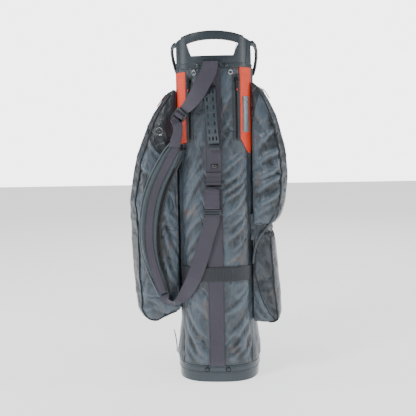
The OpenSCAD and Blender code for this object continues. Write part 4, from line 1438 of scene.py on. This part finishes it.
@dataclass
class SidePockets(SubAssembly):
    """The two side pockets, with their gusset, piping, zips and pulls."""

    cell: float = 0.0052
    slack: float = 0.003
    edge_r: float = 0.0021
    zip_y: float = -4.0
    zip_width: float = 24.0
    badge_at: tuple[float, float] = (-148.6, 690.6)
    badge_r: float = 10.0

    def soft(self, node: str, name: str, finish: Finish, folds: Sequence[Fold], seed: float,
             hold: Callable[[Vector], float], cap: float, height: float = 2.4,
             fill: float = 0.5) -> bpy.types.Object:
        """Simulates and creases one stuffed piece from its plain solid.

        Args:
            node: the CAD node.
            name: the new piece's name.
            finish: its cloth.
            folds: creases on its rear face.
            seed: picks its random creases.
            hold: how free each point is.
            cap: the furthest that a point may swell.
            height: size of the random creases, in millimetres.
            fill: how full it is; not used.

        Returns:
            The finished piece.
        """
        piece = Bench.refine(node, name, 0.0)
        puff(piece, self.cell, cap, 4.0, self.slack)
        plain = surface(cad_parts[node])
        for vertex in piece.data.vertices:
            near = plain.find_nearest(vertex.co)[0]
            free = hold(vertex.co)
            vertex.co = near.lerp(vertex.co, 0.12 + 0.88 * free)
        soften(piece, seed, height, folds, hold)
        Bench.modify(piece, "SUBSURF", levels=1, render_levels=1)
        Bench.smooth(piece, 80.0)
        self.add(piece, finish, "bag")
        return piece

    def piping(self, pocket: Pocket, piece: bpy.types.Object) -> None:
        """Piping round the pocket's rear and front edges, laid on its real surface."""
        tree = surface(piece)
        lines = []
        for y in (-0.0805, 0.069):
            profile = self.outline(pocket, piece.name)
            points = []
            for x, z in spline(profile, 90):
                inner, mid = 88.0, self.middle(piece.name)
                at = Vector((pocket.side * (inner + (x - inner) * 0.89) * MM, y,
                             (mid + (z - mid) * 0.9725) * MM))
                near, out, _, _ = tree.find_nearest(at)
                points.append(near + out * 0.0012)
            lines.append(Bench.tube("line", points, self.edge_r, 8))
        self.add(Bench.join(lines, f"{piece.name}_Piping"), Finish.PIPING)

    @staticmethod
    def middle(name: str) -> float:
        """Height that an outline is scaled about, in millimetres."""
        return {"Left_Pocket": 486.0, "Right_Pocket": 625.0}.get(name, 282.0)

    @staticmethod
    def outline(pocket: Pocket, name: str) -> list[tuple[float, float]]:
        """The pocket's outline seen from behind, in millimetres from the bag's middle."""
        if name == "Left_Pocket":
            arc = [(pocket.edge_x(z), z) for z in np.linspace(800, 467, 10)]
            low = [(241 - 10 * ((467 - z) / 250) ** 2, z) for z in (390, 300, 215)]
            turn = [(176 + 55 * math.cos(math.radians(a)), 205 - 55 * math.sin(math.radians(a)))
                    for a in (30, 60, 90)]
            return [*arc, *low, *turn, (140, 166), (116, 176)]
        if name == "Right_Pocket":
            return [(pocket.edge_x(z), z) for z in np.linspace(812, 452, 10)] + [(162, 430)]
        return [(158, 402), (169, 286), (178, 172), (174, 158), (150, 152)]

    def zip_parts(self, pocket: Pocket) -> None:
        """Zip tape and teeth along the pocket's outer edge, with slider and pull."""
        name = f"{pocket.label}_pocket"
        def place(u: float, v: float) -> Vector:
            z = pocket.zip_high + (pocket.zip_low - pocket.zip_high) * v
            x = pocket.edge_x(z, 1.6)
            return Vector((pocket.side * x, self.zip_y + (u - 0.5) * self.zip_width, z)) * MM
        tape = Bench.thicken(Bench.grid(f"{name.title()}_Zip", 8, 80, place), 0.0011, 0.0)
        self.add(tape, Finish.ZIP, "bag", f"{name}_zip")
        for k, y in (("a", self.zip_y - 1.1), ("b", self.zip_y + 1.1)):
            line = []
            for z in np.linspace(pocket.zip_high - 2, pocket.zip_low + 2, 90):
                x = pocket.edge_x(z, 2.3)
                out = Vector((pocket.side * (x - pocket.reach + pocket.radius), 0,
                              z - pocket.full_z)).normalized()
                line.append((Vector((pocket.side * x, y, z)) * MM, out))
            teeth = Bench.stitches(f"{name.title()}_Teeth_{k}", line, 0.0022, 0.0015, 0.0011)
            self.add(teeth, Finish.SLIDER)
        self.refined(f"{name}_slider", Finish.SLIDER, f"{name}_slider", 0.0005)
        lift = math.asin((pocket.rest_z - pocket.full_z) / pocket.radius)
        turn = Matrix.Rotation(-pocket.side * lift, 4, "Y")
        centre = Vector((pocket.side * (pocket.reach - pocket.radius), self.zip_y,
                         pocket.full_z)) * MM
        out = Vector((pocket.side * (pocket.radius + 2.2) * MM, 0, 0))
        spot = (Matrix.Translation(centre) @ turn @ Matrix.Translation(out)
                @ Matrix.Rotation(math.radians(90 * pocket.side), 4, "Z"))
        cord = pull_loop(f"{name.title()}_Pull", spot, pocket.pull, 0.0014)
        self.add(cord, Finish.PULL_RED, f"{name}_pull", f"{name}_pull")
        wrap = pull_wrap(f"{name.title()}_Pull_Tip", spot, pocket.pull)
        self.add(wrap, Finish.PULL_RED, f"{name}_pull")

    def laid(self, tree: BVHTree, path: Sequence[tuple[float, float]],
             count: int = 60, *others: BVHTree) -> list[tuple[Vector, Vector]]:
        """Line on the rear face of one piece or more, from x and z in millimetres."""
        line = []
        for x, z in spline(path, count):
            start = Vector((x * MM, -0.2, z * MM))
            hits = [t.ray_cast(start, Vector((0, 1, 0))) for t in (tree, *others)]
            found = [(hit, out) for hit, out, _, _ in hits if hit is not None]
            if found:
                line.append(min(found, key=lambda pair: pair[0].y))
        return line

    def gusset(self) -> bpy.types.Object:
        """Pleated cloth that closes the gap between the two right pockets."""
        def place(u: float, v: float) -> Vector:
            z = 388.0 + 72.0 * v
            reach = 53.0 + 14.0 * v + 2.2 * math.sin(v * 14.0 + u * 5.0)
            a = math.pi * (u - 0.5)
            pleat = 2.2 * math.sin(u * 31.0 + v * 6.0) * (1.0 - 0.5 * v)
            x = 96.0 + (reach + pleat * 0.5) * abs(math.cos(a)) ** 0.42
            y = -6.0 + (70.0 + pleat) * math.copysign(abs(math.sin(a)) ** 0.55, a)
            return Vector((x, y, z)) * MM
        cloth = Bench.thicken(Bench.grid("Right_Gusset", 96, 30, place), 0.0024, 0.0)
        return self.add(cloth, Finish.LOW_POCKET)

    def badge(self, tree: BVHTree) -> None:
        """Plain ring and dot on the left pocket's dark panel."""
        x, z = self.badge_at
        ring = self.laid(tree, [(x + self.badge_r * math.cos(a), z + self.badge_r * math.sin(a))
                                for a in (*turns(24), 2 * math.pi)], 33)
        self.strand("Left_Badge_Ring", [p + n * 0.0008 for p, n in ring[:-1]], 0.0007,
                    Finish.EYELET, True)
        dot = self.laid(tree, [(x - 3.0, z), (x + 3.0, z)], 4)
        self.add(Bench.stitches("Left_Badge_Dot", dot, 0.006, 0.005, 0.0014), Finish.EYELET)

    def build(self) -> None:
        """Builds both pockets."""
        def side_hold(pocket: Pocket) -> Callable[[Vector], float]:
            def hold(co: Vector) -> float:
                free = smooth_step(trunk_gap(co), 0.002, 0.020)
                z = co.z / MM
                if pocket.zip_low - 8 < z < pocket.zip_high + 8:
                    off = abs(abs(co.x) - pocket.edge_x(min(max(z, pocket.zip_low),
                                                            pocket.zip_high)) * MM)
                    near = (1 - smooth_step(off, 0.004, 0.012)) \
                        * (1 - smooth_step(abs(co.y + 0.004), 0.013, 0.022))
                    free *= 1.0 - near
                return free
            return hold

        left, right = (self.soft(f"{side.label}_pocket", f"{side.label.title()}_Pocket",
                                 side.finish, side.folds, side.seed, side_hold(side), cap, height)
                       for side, cap, height in ((LEFT, 0.009, 3.8), (RIGHT, 0.008, 4.2)))
        low = self.soft("right_low_pocket", "Right_Low_Pocket", Finish.LOW_POCKET, LOW_FOLDS,
                        31.0, lambda co: smooth_step(trunk_gap(co), 0.002, 0.018), 0.006, 2.8)
        gusset = self.gusset()
        for pocket, piece, node in ((LEFT, left, "left_pocket_piping"),
                                    (RIGHT, right, "right_pocket_piping"),
                                    (RIGHT, low, "right_pocket_piping")):
            self.piping(pocket, piece)
            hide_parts(node)
        self.zip_parts(LEFT)
        self.zip_parts(RIGHT)
        tree = surface(left)
        border = self.laid(tree, [(-188, 713), (-178, 679), (-166, 650), (-154, 634), (-145, 630),
                                  (-136, 634), (-126, 646), (-114, 673)], 70)
        self.strand("Left_Panel_Piping", [p + n * 0.0006 for p, n in border], 0.0013,
                    Finish.PIPING)
        inner = self.laid(tree, [(-183, 708), (-173, 676), (-162, 654), (-145, 638), (-131, 652),
                                 (-121, 674)], 70)
        self.add(Bench.stitches("Left_Panel_Stitches", inner), Finish.THREAD)
        self.badge(tree)
        tree = surface(right)
        low_tree = surface(low)
        sweep = self.laid(tree, [(178, 486), (162, 450), (137, 415), (117, 384), (107, 348),
                                 (104, 310)], 44, low_tree, surface(gusset))
        for name, lift, radius, finish in (("Sweep_Fold", 0.0014, 0.0036, Finish.TRUNK),
                                           ("Sweep_Piping", 0.0010, 0.0017, Finish.PIPING)):
            shift = Vector((-0.0030, 0.0, 0.0)) if radius > 0.002 else Vector()
            line = [(*(p + n * lift + shift),) for p, n in sweep]
            self.add(Bench.tube(f"Right_{name}", line[::4], radius, 12, False, 60), finish)
        lens = self.laid(low_tree, [(110, 408), (104, 372), (103, 330), (109, 280), (124, 226),
                                    (146, 182), (162, 162)], 70)
        self.strand("Right_Low_Lens_Piping", [p + n * 0.0006 for p, n in lens], 0.0016,
                    Finish.PIPING)


@dataclass(frozen=True)
class FrontPocket:
    """One front pocket's own sizes, in millimetres."""

    key: str
    low: float
    high: float
    face: float
    half: float


@dataclass
class FrontPockets(SidePockets):
    """The three pockets on the far side: valuables, cooler and ball."""

    pockets: tuple[FrontPocket, ...] = (
        FrontPocket("valuables", 592, 792, 163, 70.0), FrontPocket("cooler", 346, 578, 187, 76.0),
        FrontPocket("ball", 104, 332, 203, 82.0))
    zip_drop: float = 58.0
    seam_in: float = 14.0
    pull_length: float = 34.0

    def build(self) -> None:
        """Builds the front pockets with their zips."""
        tapes = []
        for index, pocket in enumerate(self.pockets):
            key, name = pocket.key, pocket.key.title()
            zip_z = (pocket.high - self.zip_drop) * MM
            face_y = pocket.face * MM

            def hold(co: Vector, zip_z: float = zip_z, face_y: float = face_y) -> float:
                near = (1 - smooth_step(abs(co.z - zip_z), 0.013, 0.026)) \
                    * (1 - smooth_step(abs(co.x), 0.062, 0.074)) \
                    * smooth_step(co.y, face_y - 0.012, face_y - 0.004)
                return (1 - near) * smooth_step(co.y, 0.122, 0.136)

            piece = self.soft(f"{key}_pocket", f"{name}_Pocket", Finish.TRUNK, (), 41.0 + index,
                              hold, 0.008, 1.8, 0.6)
            tree = surface(piece)
            tapes.append(Bench.block((0.124, 0.0011, 0.022), (0, face_y + 0.0008, zip_z),
                                     0.0004, 1))
            for k, dz in (("a", -1.1), ("b", 1.1)):
                line = [(Vector((x * MM, face_y + 0.0014, zip_z + dz * MM)), Vector((0, 1, 0)))
                        for x in np.linspace(-60, 60, 20)]
                self.add(Bench.stitches(f"{name}_Teeth_{k}", line, 0.0022, 0.0015, 0.0011),
                         Finish.SLIDER)
            for side, z in (("Top", pocket.high - self.seam_in),
                            ("Bottom", pocket.low + self.seam_in)):
                points = []
                for x in np.linspace(-pocket.half, pocket.half, 60):
                    hit, out, _, _ = tree.ray_cast(Vector((x * MM, 0.26, z * MM)),
                                                   Vector((0, -1, 0)))
                    if hit is not None:
                        points.append(hit + out * 0.0007)
                self.strand(f"{name}_Piping_{side}", points, 0.0018, Finish.PIPING)
            self.refined(f"{key}_slider", Finish.SLIDER, f"{key}_slider", 0.0005)
            spot = Matrix.Translation((-0.056, face_y + 0.0014, zip_z)) @ Matrix.Rotation(
                math.pi, 4, "Z")
            self.add(pull_loop(f"{name}_Pull", spot, self.pull_length), Finish.PULL_RED,
                     f"{key}_pull", f"{key}_pull")
            self.add(pull_wrap(f"{name}_Pull_Tip", spot, self.pull_length), Finish.PULL_RED,
                     f"{key}_pull")
        self.add(Bench.join(tapes, "Front_Zip_Tapes"), Finish.ZIP, "bag", "front_zip_tapes")


PAD_ROUTE = (
    ((-99, -104, 650), (0.85, -0.1, 0.5), 42), ((-114, -101, 625), (0.85, -0.1, 0.5), 53),
    ((-137, -97, 585), (0.88, 0, 0.45), 57), ((-157, -95, 543), (0.92, 0, 0.38), 58),
    ((-173, -95, 492), (0.97, 0, 0.22), 59), ((-182, -95, 429), (1, 0, 0.05), 57),
    ((-181, -95, 368), (0.99, 0, -0.12), 53), ((-168, -96, 308), (0.95, 0, -0.3), 45),
    ((-147, -98, 243), (0.93, 0, -0.36), 31))


@dataclass
class Strap(SubAssembly):
    """Shoulder strap: webbing, ladder buckle, pad, tri-glide and ring."""

    pad_depth: float = 0.0105
    stripe: float = 23.0
    groove: float = 0.0118
    buckle: Point = (-89, -117, 731)
    web_depth: float = 0.0018

    def by_buckle(self, along: float, inward: float) -> Point:
        """Place on the buckle's middle line, in millimetres: up the web, and towards the bag."""
        up, into = (0.597, -0.149, 0.788), (0.242, 0.970, 0.0)
        return tuple(c + along * u + inward * n for c, u, n in zip(self.buckle, up, into))

    def pad_line(self, count: int = 121) -> tuple[np.ndarray, np.ndarray, np.ndarray, np.ndarray]:
        """Centreline, width direction, outward direction and half-width along the pad."""
        knots = [(*p, *Vector(d).normalized(), w) for p, d, w in PAD_ROUTE]
        fine = spline(knots, count)
        centre = fine[:, :3] * MM
        run = np.gradient(centre, axis=0)
        run /= np.linalg.norm(run, axis=1, keepdims=True)
        across = fine[:, 3:6] - run * np.sum(fine[:, 3:6] * run, axis=1, keepdims=True)
        across /= np.linalg.norm(across, axis=1, keepdims=True)
        out = np.cross(across, run)
        out *= -np.sign(out[:, 1:2])
        return centre, across, out, fine[:, 6] * MM / 2

    def pad(self) -> None:
        """Padded part of the strap with its two ribs, stripe, binding and stitching."""
        route = [(p, d, w - 5) for p, d, w in PAD_ROUTE]
        pad = Bench.ribbon("Strap_Pad", route, self.pad_depth - 0.003, 90, 12)
        centre, across, out, half = self.pad_line()
        puff(pad, 0.0036, 0.0030, 6.0)
        shaped = []
        for point in points_of(pad.data):
            k = int(np.argmin(np.sum((centre - point) ** 2, axis=1)))
            off = point - centre[k]
            s = float(off @ across[k])
            d = float(off @ out[k])
            share = min(1.0, abs(s) / half[k])
            past = abs(s) - self.groove
            groove = math.exp(-(past / 0.0016) ** 2)
            rib = math.sin(math.pi * min(1.0, max(0.0, past / (half[k] - self.groove))))
            if d > 0:
                d += 0.0026 * rib - 0.0016 * groove
                d -= 0.0010 * smooth_step(-past, 0.0, 0.002)
            d *= 1.0 - 0.35 * share ** 6
            shaped.append(centre[k] + across[k] * s + out[k] * d
                          + (off - across[k] * float(off @ across[k])
                             - out[k] * float(off @ out[k])))
        move_points(pad.data, np.array(shaped))
        Bench.modify(pad, "SUBSURF", levels=1, render_levels=1)
        Bench.smooth(pad, 80.0)
        self.add(pad, Finish.PAD, "shoulder_strap", "strap_pad")
        # Dark backing under the pad, set wider and offset to the inner side: partly the pad's real backing,
        # partly a dark sheet standing in for the pad's shadow on that side.
        under = [((x + 5.5, y + 6.2, z), d, w - 3) for (x, y, z), d, w in PAD_ROUTE]
        self.add(Bench.ribbon("Strap_Pad_Backing_And_Shadow", under, 0.0026, 90, 10), Finish.LINING,
                 "shoulder_strap")
        tree = surface(pad)

        def on_pad(s: float, k: int, lift: float) -> tuple[Vector, Vector]:
            start = Vector(centre[k] + across[k] * s + out[k] * 0.03)
            hit, normal, _, _ = tree.ray_cast(start, Vector(-out[k]))
            if hit is None:
                return Vector(centre[k] + across[k] * s + out[k] * 0.004), Vector(out[k])
            return hit + Vector(out[k]) * lift, normal

        rows = 110
        keep = range(1, len(centre) - 1)

        def stripe_place(u: float, v: float) -> Vector:
            k = keep[int(round(v * (len(keep) - 1)))]
            width = min(self.stripe, half[k] / MM * 2 - 12) * MM
            return on_pad((u - 0.5) * width, k, 0.0009)[0]
        stripe = Bench.grid("Strap_Pad_Stripe", 8, rows, stripe_place)
        Bench.modify(stripe, "SMOOTH", factor=0.5, iterations=2)
        Bench.thicken(stripe, 0.0013, 0.0, 0.0003)
        self.add(stripe, Finish.VIOLET, "shoulder_strap", "strap_pad_stripe")
        for side, label in ((-1, "Outer"), (1, "Inner")):
            sewn = [on_pad(side * (min(self.stripe, half[k] / MM * 2 - 12) / 2 - 1.6) * MM, k,
                           0.0017) for k in keep]
            self.add(Bench.stitches(f"Pad_Stripe_Stitches_{label}", sewn), Finish.THREAD,
                     "shoulder_strap")
            edge = [Vector(centre[k] + across[k] * side * (half[k] - 0.0012) + out[k] * 0.0005)
                    for k in range(len(centre))]
            bind = Bench.tube(f"Pad_Binding_{label}", edge, 0.0020, 8)
            self.add(bind, Finish.PIPING if side > 0 else Finish.PALE_THREAD, "shoulder_strap")
            if side < 0:
                continue
            zigzag = []
            for i in range(0, (len(keep) - 1) * 3):
                k = keep[min(i // 3, len(keep) - 1)]
                wide = 0.0046 if i % 2 else 0.0072
                zigzag.append(on_pad(side * (half[k] - wide), k, 0.0003))
            places = [p for p, _ in zigzag]
            self.add(Bench.tube(f"Pad_Overlock_{label}", places[::2], 0.0004, 4), Finish.THREAD,
                     "shoulder_strap")
            hatch = []
            for i in range(1, len(keep) * 2 - 2):
                k = keep[i // 2]
                a = on_pad(side * (half[k] - 0.0030), k, 0.0002)[0]
                b = on_pad(side * (half[k] - 0.0078), min(k + 1, len(centre) - 2), 0.0002)[0]
                if i % 2:
                    a = a.lerp(on_pad(side * (half[k + 1] - 0.0030), k + 1, 0.0002)[0], 0.5)
                    b = b.lerp(on_pad(side * (half[k + 1] - 0.0078), min(k + 2, len(centre) - 2),
                                      0.0002)[0], 0.5)
                hatch.append(Bench.tube("hatch", [a, b], 0.00042, 4))
            self.add(Bench.join(hatch, f"Pad_Edge_Hatch_{label}"), Finish.THREAD,
                     "shoulder_strap")

    def webs(self) -> None:
        """Webbing above and below the pad."""
        tilt = (0.765, -0.19, -0.616)
        upper = [((-3, -126.4, 857), (1, 0, 0), 40), ((-3, -126.0, 864), (1, 0, 0), 40),
                 ((-3, -130.0, 870.6), (1, 0, 0), 40), ((-3, -134.4, 866), (1, 0, 0), 40),
                 ((-4, -136.5, 856), (1, 0, -0.06), 41), ((-8, -139.0, 843), (1, 0, -0.2), 42),
                 ((-15, -141.2, 829), (0.93, 0, -0.36), 42),
                 ((-24, -142, 814), (0.87, 0, -0.5), 42), ((-38, -141, 789), (0.84, -0.1, -0.54), 41),
                 ((-56, -134, 765), (0.8, -0.2, -0.58), 35), ((-69, -125, 752), tilt, 29),
                 (self.by_buckle(21, 1.5), tilt, 26), (self.by_buckle(15, 4.4), tilt, 25.6),
                 (self.by_buckle(10.5, 3.2), tilt, 25.6), (self.by_buckle(6.5, 0), tilt, 25.6),
                 (self.by_buckle(3, -3.9), tilt, 25.6), (self.by_buckle(-3, -3.9), tilt, 25.6),
                 (self.by_buckle(-6.5, 0), tilt, 25.6), (self.by_buckle(-10, 4.2), tilt, 25.6)]
        web = Bench.ribbon("Strap_Upper_Web", upper, 0.0015, 190, 10, 0.0004, 0.0004)
        self.add(web, Finish.VIOLET, "", "strap_upper_web", "strap_top_fold")
        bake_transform(web)
        self.refined("strap_buckle", Finish.BUCKLE, "shoulder_strap", 0.0016, 3)
        tail = [(self.by_buckle(-13, 4.0), tilt, 26),
                (self.by_buckle(-19, 1.0), (0.9, -0.2, -0.35), 26),
                ((-95, -122, 706), (0.98, -0.15, 0), 26), ((-95, -121.4, 684), (0.98, -0.15, 0.1), 26),
                ((-100, -116, 664), (0.95, -0.1, 0.25), 28), ((-106, -108, 648), (0.88, -0.1, 0.45), 32)]
        self.add(Bench.ribbon("Strap_Web_Tail", tail, self.web_depth, 70, 8, 0.0008, 0.0004),
                 Finish.VIOLET, "shoulder_strap", "strap_web_tail")
        end = [(self.by_buckle(-12, -1.0), tilt, 25), (self.by_buckle(-18, -5.0), tilt, 25),
               ((-93, -127.5, 706), (1, -0.05, -0.12), 24), ((-92.5, -129.2, 692), (1, 0, 0.05), 23),
               ((-99, -128.6, 675), (0.97, 0, 0.18), 23), ((-106.5, -126.4, 660), (0.95, 0, -0.2), 20)]
        self.add(Bench.ribbon("Strap_Web_Loose_End", end, 0.0020, 60, 8, 0.0012), Finish.VIOLET,
                 "shoulder_strap")
        lower = [((-146.5, -98.5, 240), (0.9, -0.05, -0.4), 30), ((-142, -100, 231), (0.8, -0.25, -0.3), 30),
                 ((-131, -104, 222), (0.3, -0.75, 0.45), 32), ((-112, -110, 221), (-0.15, -0.85, 0.5), 34),
                 ((-94, -115, 235), (-0.55, -0.6, 0.5), 36), ((-76, -121, 262), (-0.8, -0.2, 0.45), 38),
                 ((-55, -126, 304), (-0.88, 0, 0.4), 40), ((-36, -128, 356), (-0.93, 0, 0.3), 40),
                 ((-25, -129, 393), (-0.97, 0, 0.22), 40), ((-15, -129.6, 425), (-1, 0, 0.2), 40),
                 ((-7, -130, 450), (-1, 0, 0.04), 41), ((-6, -130, 480), (-1, 0, 0), 41),
                 ((-6, -130, 534), (-1, 0, 0), 41)]
        web = self.lower_ribbon(lower)
        self.add(web, Finish.VIOLET, "", "strap_lower_web", "strap_link_web")
        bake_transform(web)
        back = [((-6, -131.6, 481.5), (1, 0, 0), 40), ((-6, -133.0, 486), (1, 0, 0), 40),
                ((-6, -133.4, 508), (1, 0, 0), 40), ((-6, -133.0, 526), (1, 0, 0), 40),
                ((-6, -131.6, 533.5), (1, 0, 0), 40), ((-5, -129.0, 535.4), (1, 0, 0), 40)]
        doubled = Bench.ribbon("Strap_Return_Web", back, 0.0016, 60, 8, 0.0006, 0.0003)
        self.add(doubled, Finish.VIOLET, "")
        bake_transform(doubled)
        loop = [((-1, -125.4, 578), (1, 0, 0), 40), ((-1, -126.4, 562), (1, 0, 0), 40),
                ((-1, -129.6, 553), (1, 0, 0), 40), ((-1, -134.0, 550.5), (1, 0, 0), 40),
                ((-1, -133.8, 547), (1, 0, 0), 40)]
        self.add(Bench.ribbon("Ring_Keeper_Web", loop, 0.0015, 40, 8), Finish.VIOLET)
        row = [(Vector((x * MM, -0.1268, 0.566)), Vector((0, -1, 0)))
               for x in np.linspace(-19, 17, 12)]
        self.add(Bench.stitches("Ring_Keeper_Stitches", row), Finish.THREAD)

    def lower_ribbon(self, route: list[tuple[Point, Point, float]]) -> bpy.types.Object:
        """Lower web: it twists over, so its own normal is followed all the way."""
        rows = 190
        knots = [(*p, *Vector(d).normalized(), w) for p, d, w in route]
        fine = spline(knots, rows + 1)

        def place(u: float, v: float) -> Vector:
            k = min(int(round(v * rows)), rows)
            across = Bench.directions(fine, k)[1]
            return (Vector(fine[k][:3]) + across * (u - 0.5) * fine[k][6]) * MM
        return Bench.thicken(Bench.grid("Strap_Lower_Web", 10, rows, place), self.web_depth,
                             0.0, 0.0005)

    def hardware(self) -> None:
        """Top bar, ring, tri-glide and the umbrella tab."""
        self.refined("strap_top_bar", Finish.BUCKLE, bevel=0.0008)
        self.refined("strap_lower_ring", Finish.BUCKLE, bevel=0.0014, segments=3)
        self.refined("tri_glide", Finish.BUCKLE, "tri_glide", 0.0012, 3)
        tab = [((-121.4, -30, 58), (0, 1, 0), 9), ((-121.6, -30, 80), (0, 1, 0), 9),
               ((-124, -31, 102), (0, 1, 0), 7), ((-128, -32, 124), (0, 1, 0), 4)]
        self.add(Bench.ribbon("Umbrella_Tab", tab, 0.0018, 40, 6), Finish.TRIM, "bag",
                 "umbrella_tab")

    def build(self) -> None:
        """Builds the strap from top to bottom."""
        self.webs()
        self.pad()
        self.hardware()


# ---------------------------------------------------------------- studio


@dataclass(frozen=True)
class Lamp:
    """One soft panel: its name, place, width, height in metres, and power in watts."""

    name: str
    place: Point
    width: float
    height: float
    power: float


@dataclass
class Studio:
    """Floor, soft lights, sky and camera."""

    lamps: tuple[Lamp, ...] = (
        Lamp("Key", (-1.9, -2.0, 2.6), 0.8, 0.8, 58.0), Lamp("Fill", (2.2, -2.4, 1.4), 1.6, 1.6, 9.0),
        Lamp("Left_Strip", (-2.1, 0.10, 0.8), 0.5, 1.9, 17.0),
        Lamp("Right_Strip", (2.1, 0.10, 0.8), 0.5, 1.9, 22.0),
        Lamp("Back", (0.3, 2.6, 2.2), 2.0, 2.0, 26.0),
        Lamp("Overhead", (0.0, -0.4, 3.0), 1.6, 1.6, 16.0))
    floor_size: float = 14.0
    glow: float = 1.25
    lens: float = 64.1
    eye: float = 0.70
    distance: float = 2.1
    swing: float = 3.0
    roll: float = -1.2
    ambient: float = 0.20
    backdrop: float = 4.5

    def floor(self) -> None:
        """Pale flat floor."""
        bpy.ops.object.select_all(action="DESELECT")
        bpy.ops.mesh.primitive_plane_add(size=self.floor_size, location=(0.0, 0.0, 0.0))
        floor = Bench.name(bpy.context.object, "Floor")
        g = Graph("Pale floor")
        tone = g.tint(g.noise(g.place(), 3.0, 3.0), (0.86, 0.86, 0.87), (0.90, 0.90, 0.90))
        g.shade(Base_Color=tone, Roughness=0.8, Emission_Color=(1.0, 1.0, 1.0, 1.0),
                Emission_Strength=self.glow)
        floor.data.materials.append(g.material)

    def lights(self) -> None:
        """Large soft panels, then the sky."""
        for lamp in self.lamps:
            data = bpy.data.lights.new(lamp.name, "AREA")
            data.energy = lamp.power
            data.shape = "RECTANGLE"
            data.size = lamp.width
            data.size_y = lamp.height
            light = bpy.data.objects.new(lamp.name, data)
            light.location = lamp.place
            aim = Vector((0.0, 0.0, 0.5)) - Vector(lamp.place)
            light.rotation_euler = aim.to_track_quat("-Z", "Y").to_euler()
            bpy.context.scene.collection.objects.link(light)
        self.sky()

    def sky(self) -> None:
        """Dim even light from all round, with a bright backdrop where it is seen directly."""
        world = bpy.data.worlds.new("Soft sky")
        world.use_nodes = True
        nodes, links = world.node_tree.nodes, world.node_tree.links
        even = nodes["Background"]
        even.inputs["Color"].default_value = (0.92, 0.95, 1.0, 1.0)
        even.inputs["Strength"].default_value = self.ambient
        seen = nodes.new("ShaderNodeBackground")
        seen.inputs["Color"].default_value = (1.0, 1.0, 1.0, 1.0)
        seen.inputs["Strength"].default_value = self.backdrop
        mix = nodes.new("ShaderNodeMixShader")
        path = nodes.new("ShaderNodeLightPath")
        links.new(path.outputs["Is Camera Ray"], mix.inputs[0])
        links.new(even.outputs[0], mix.inputs[1])
        links.new(seen.outputs[0], mix.inputs[2])
        links.new(mix.outputs[0], nodes["World Output"].inputs["Surface"])
        bpy.context.scene.world = world

    def camera(self) -> None:
        """Camera behind the bag, a little above its middle."""
        data = bpy.data.cameras.new("Camera")
        data.sensor_width = 36.0
        data.lens = self.lens
        camera = bpy.data.objects.new("Camera", data)
        bpy.context.scene.collection.objects.link(camera)
        turn = math.radians(self.swing)
        place = Vector((math.sin(turn) * self.distance, -math.cos(turn) * self.distance, self.eye))
        aim = Vector((-0.0257, -0.001, 0.47))
        look = (aim - place).to_track_quat("-Z", "Y").to_matrix()
        spin = Matrix.Rotation(math.radians(self.roll), 3, "Z")
        camera.matrix_world = Matrix.Translation(place) @ (look @ spin).to_4x4()
        bpy.context.scene.camera = camera

    def build(self) -> None:
        """Sets the studio up."""
        self.floor()
        self.lights()
        self.camera()


def main() -> None:
    """Builds the bag."""
    logging.basicConfig(level=logging.INFO, format="%(name)s: %(message)s")
    Studio().build()
    paint = Paint()
    for part in (Base, Trunk, Top, SidePockets, FrontPockets, Strap):
        made = part(paint)
        made.build()
        LOG.info("%s: %d pieces", part.__name__, len(made.pieces))
    for name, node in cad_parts.items():
        if not node.hide_render:
            LOG.warning("CAD node %s still shows", name)


if __name__ == "__main__":
    main()
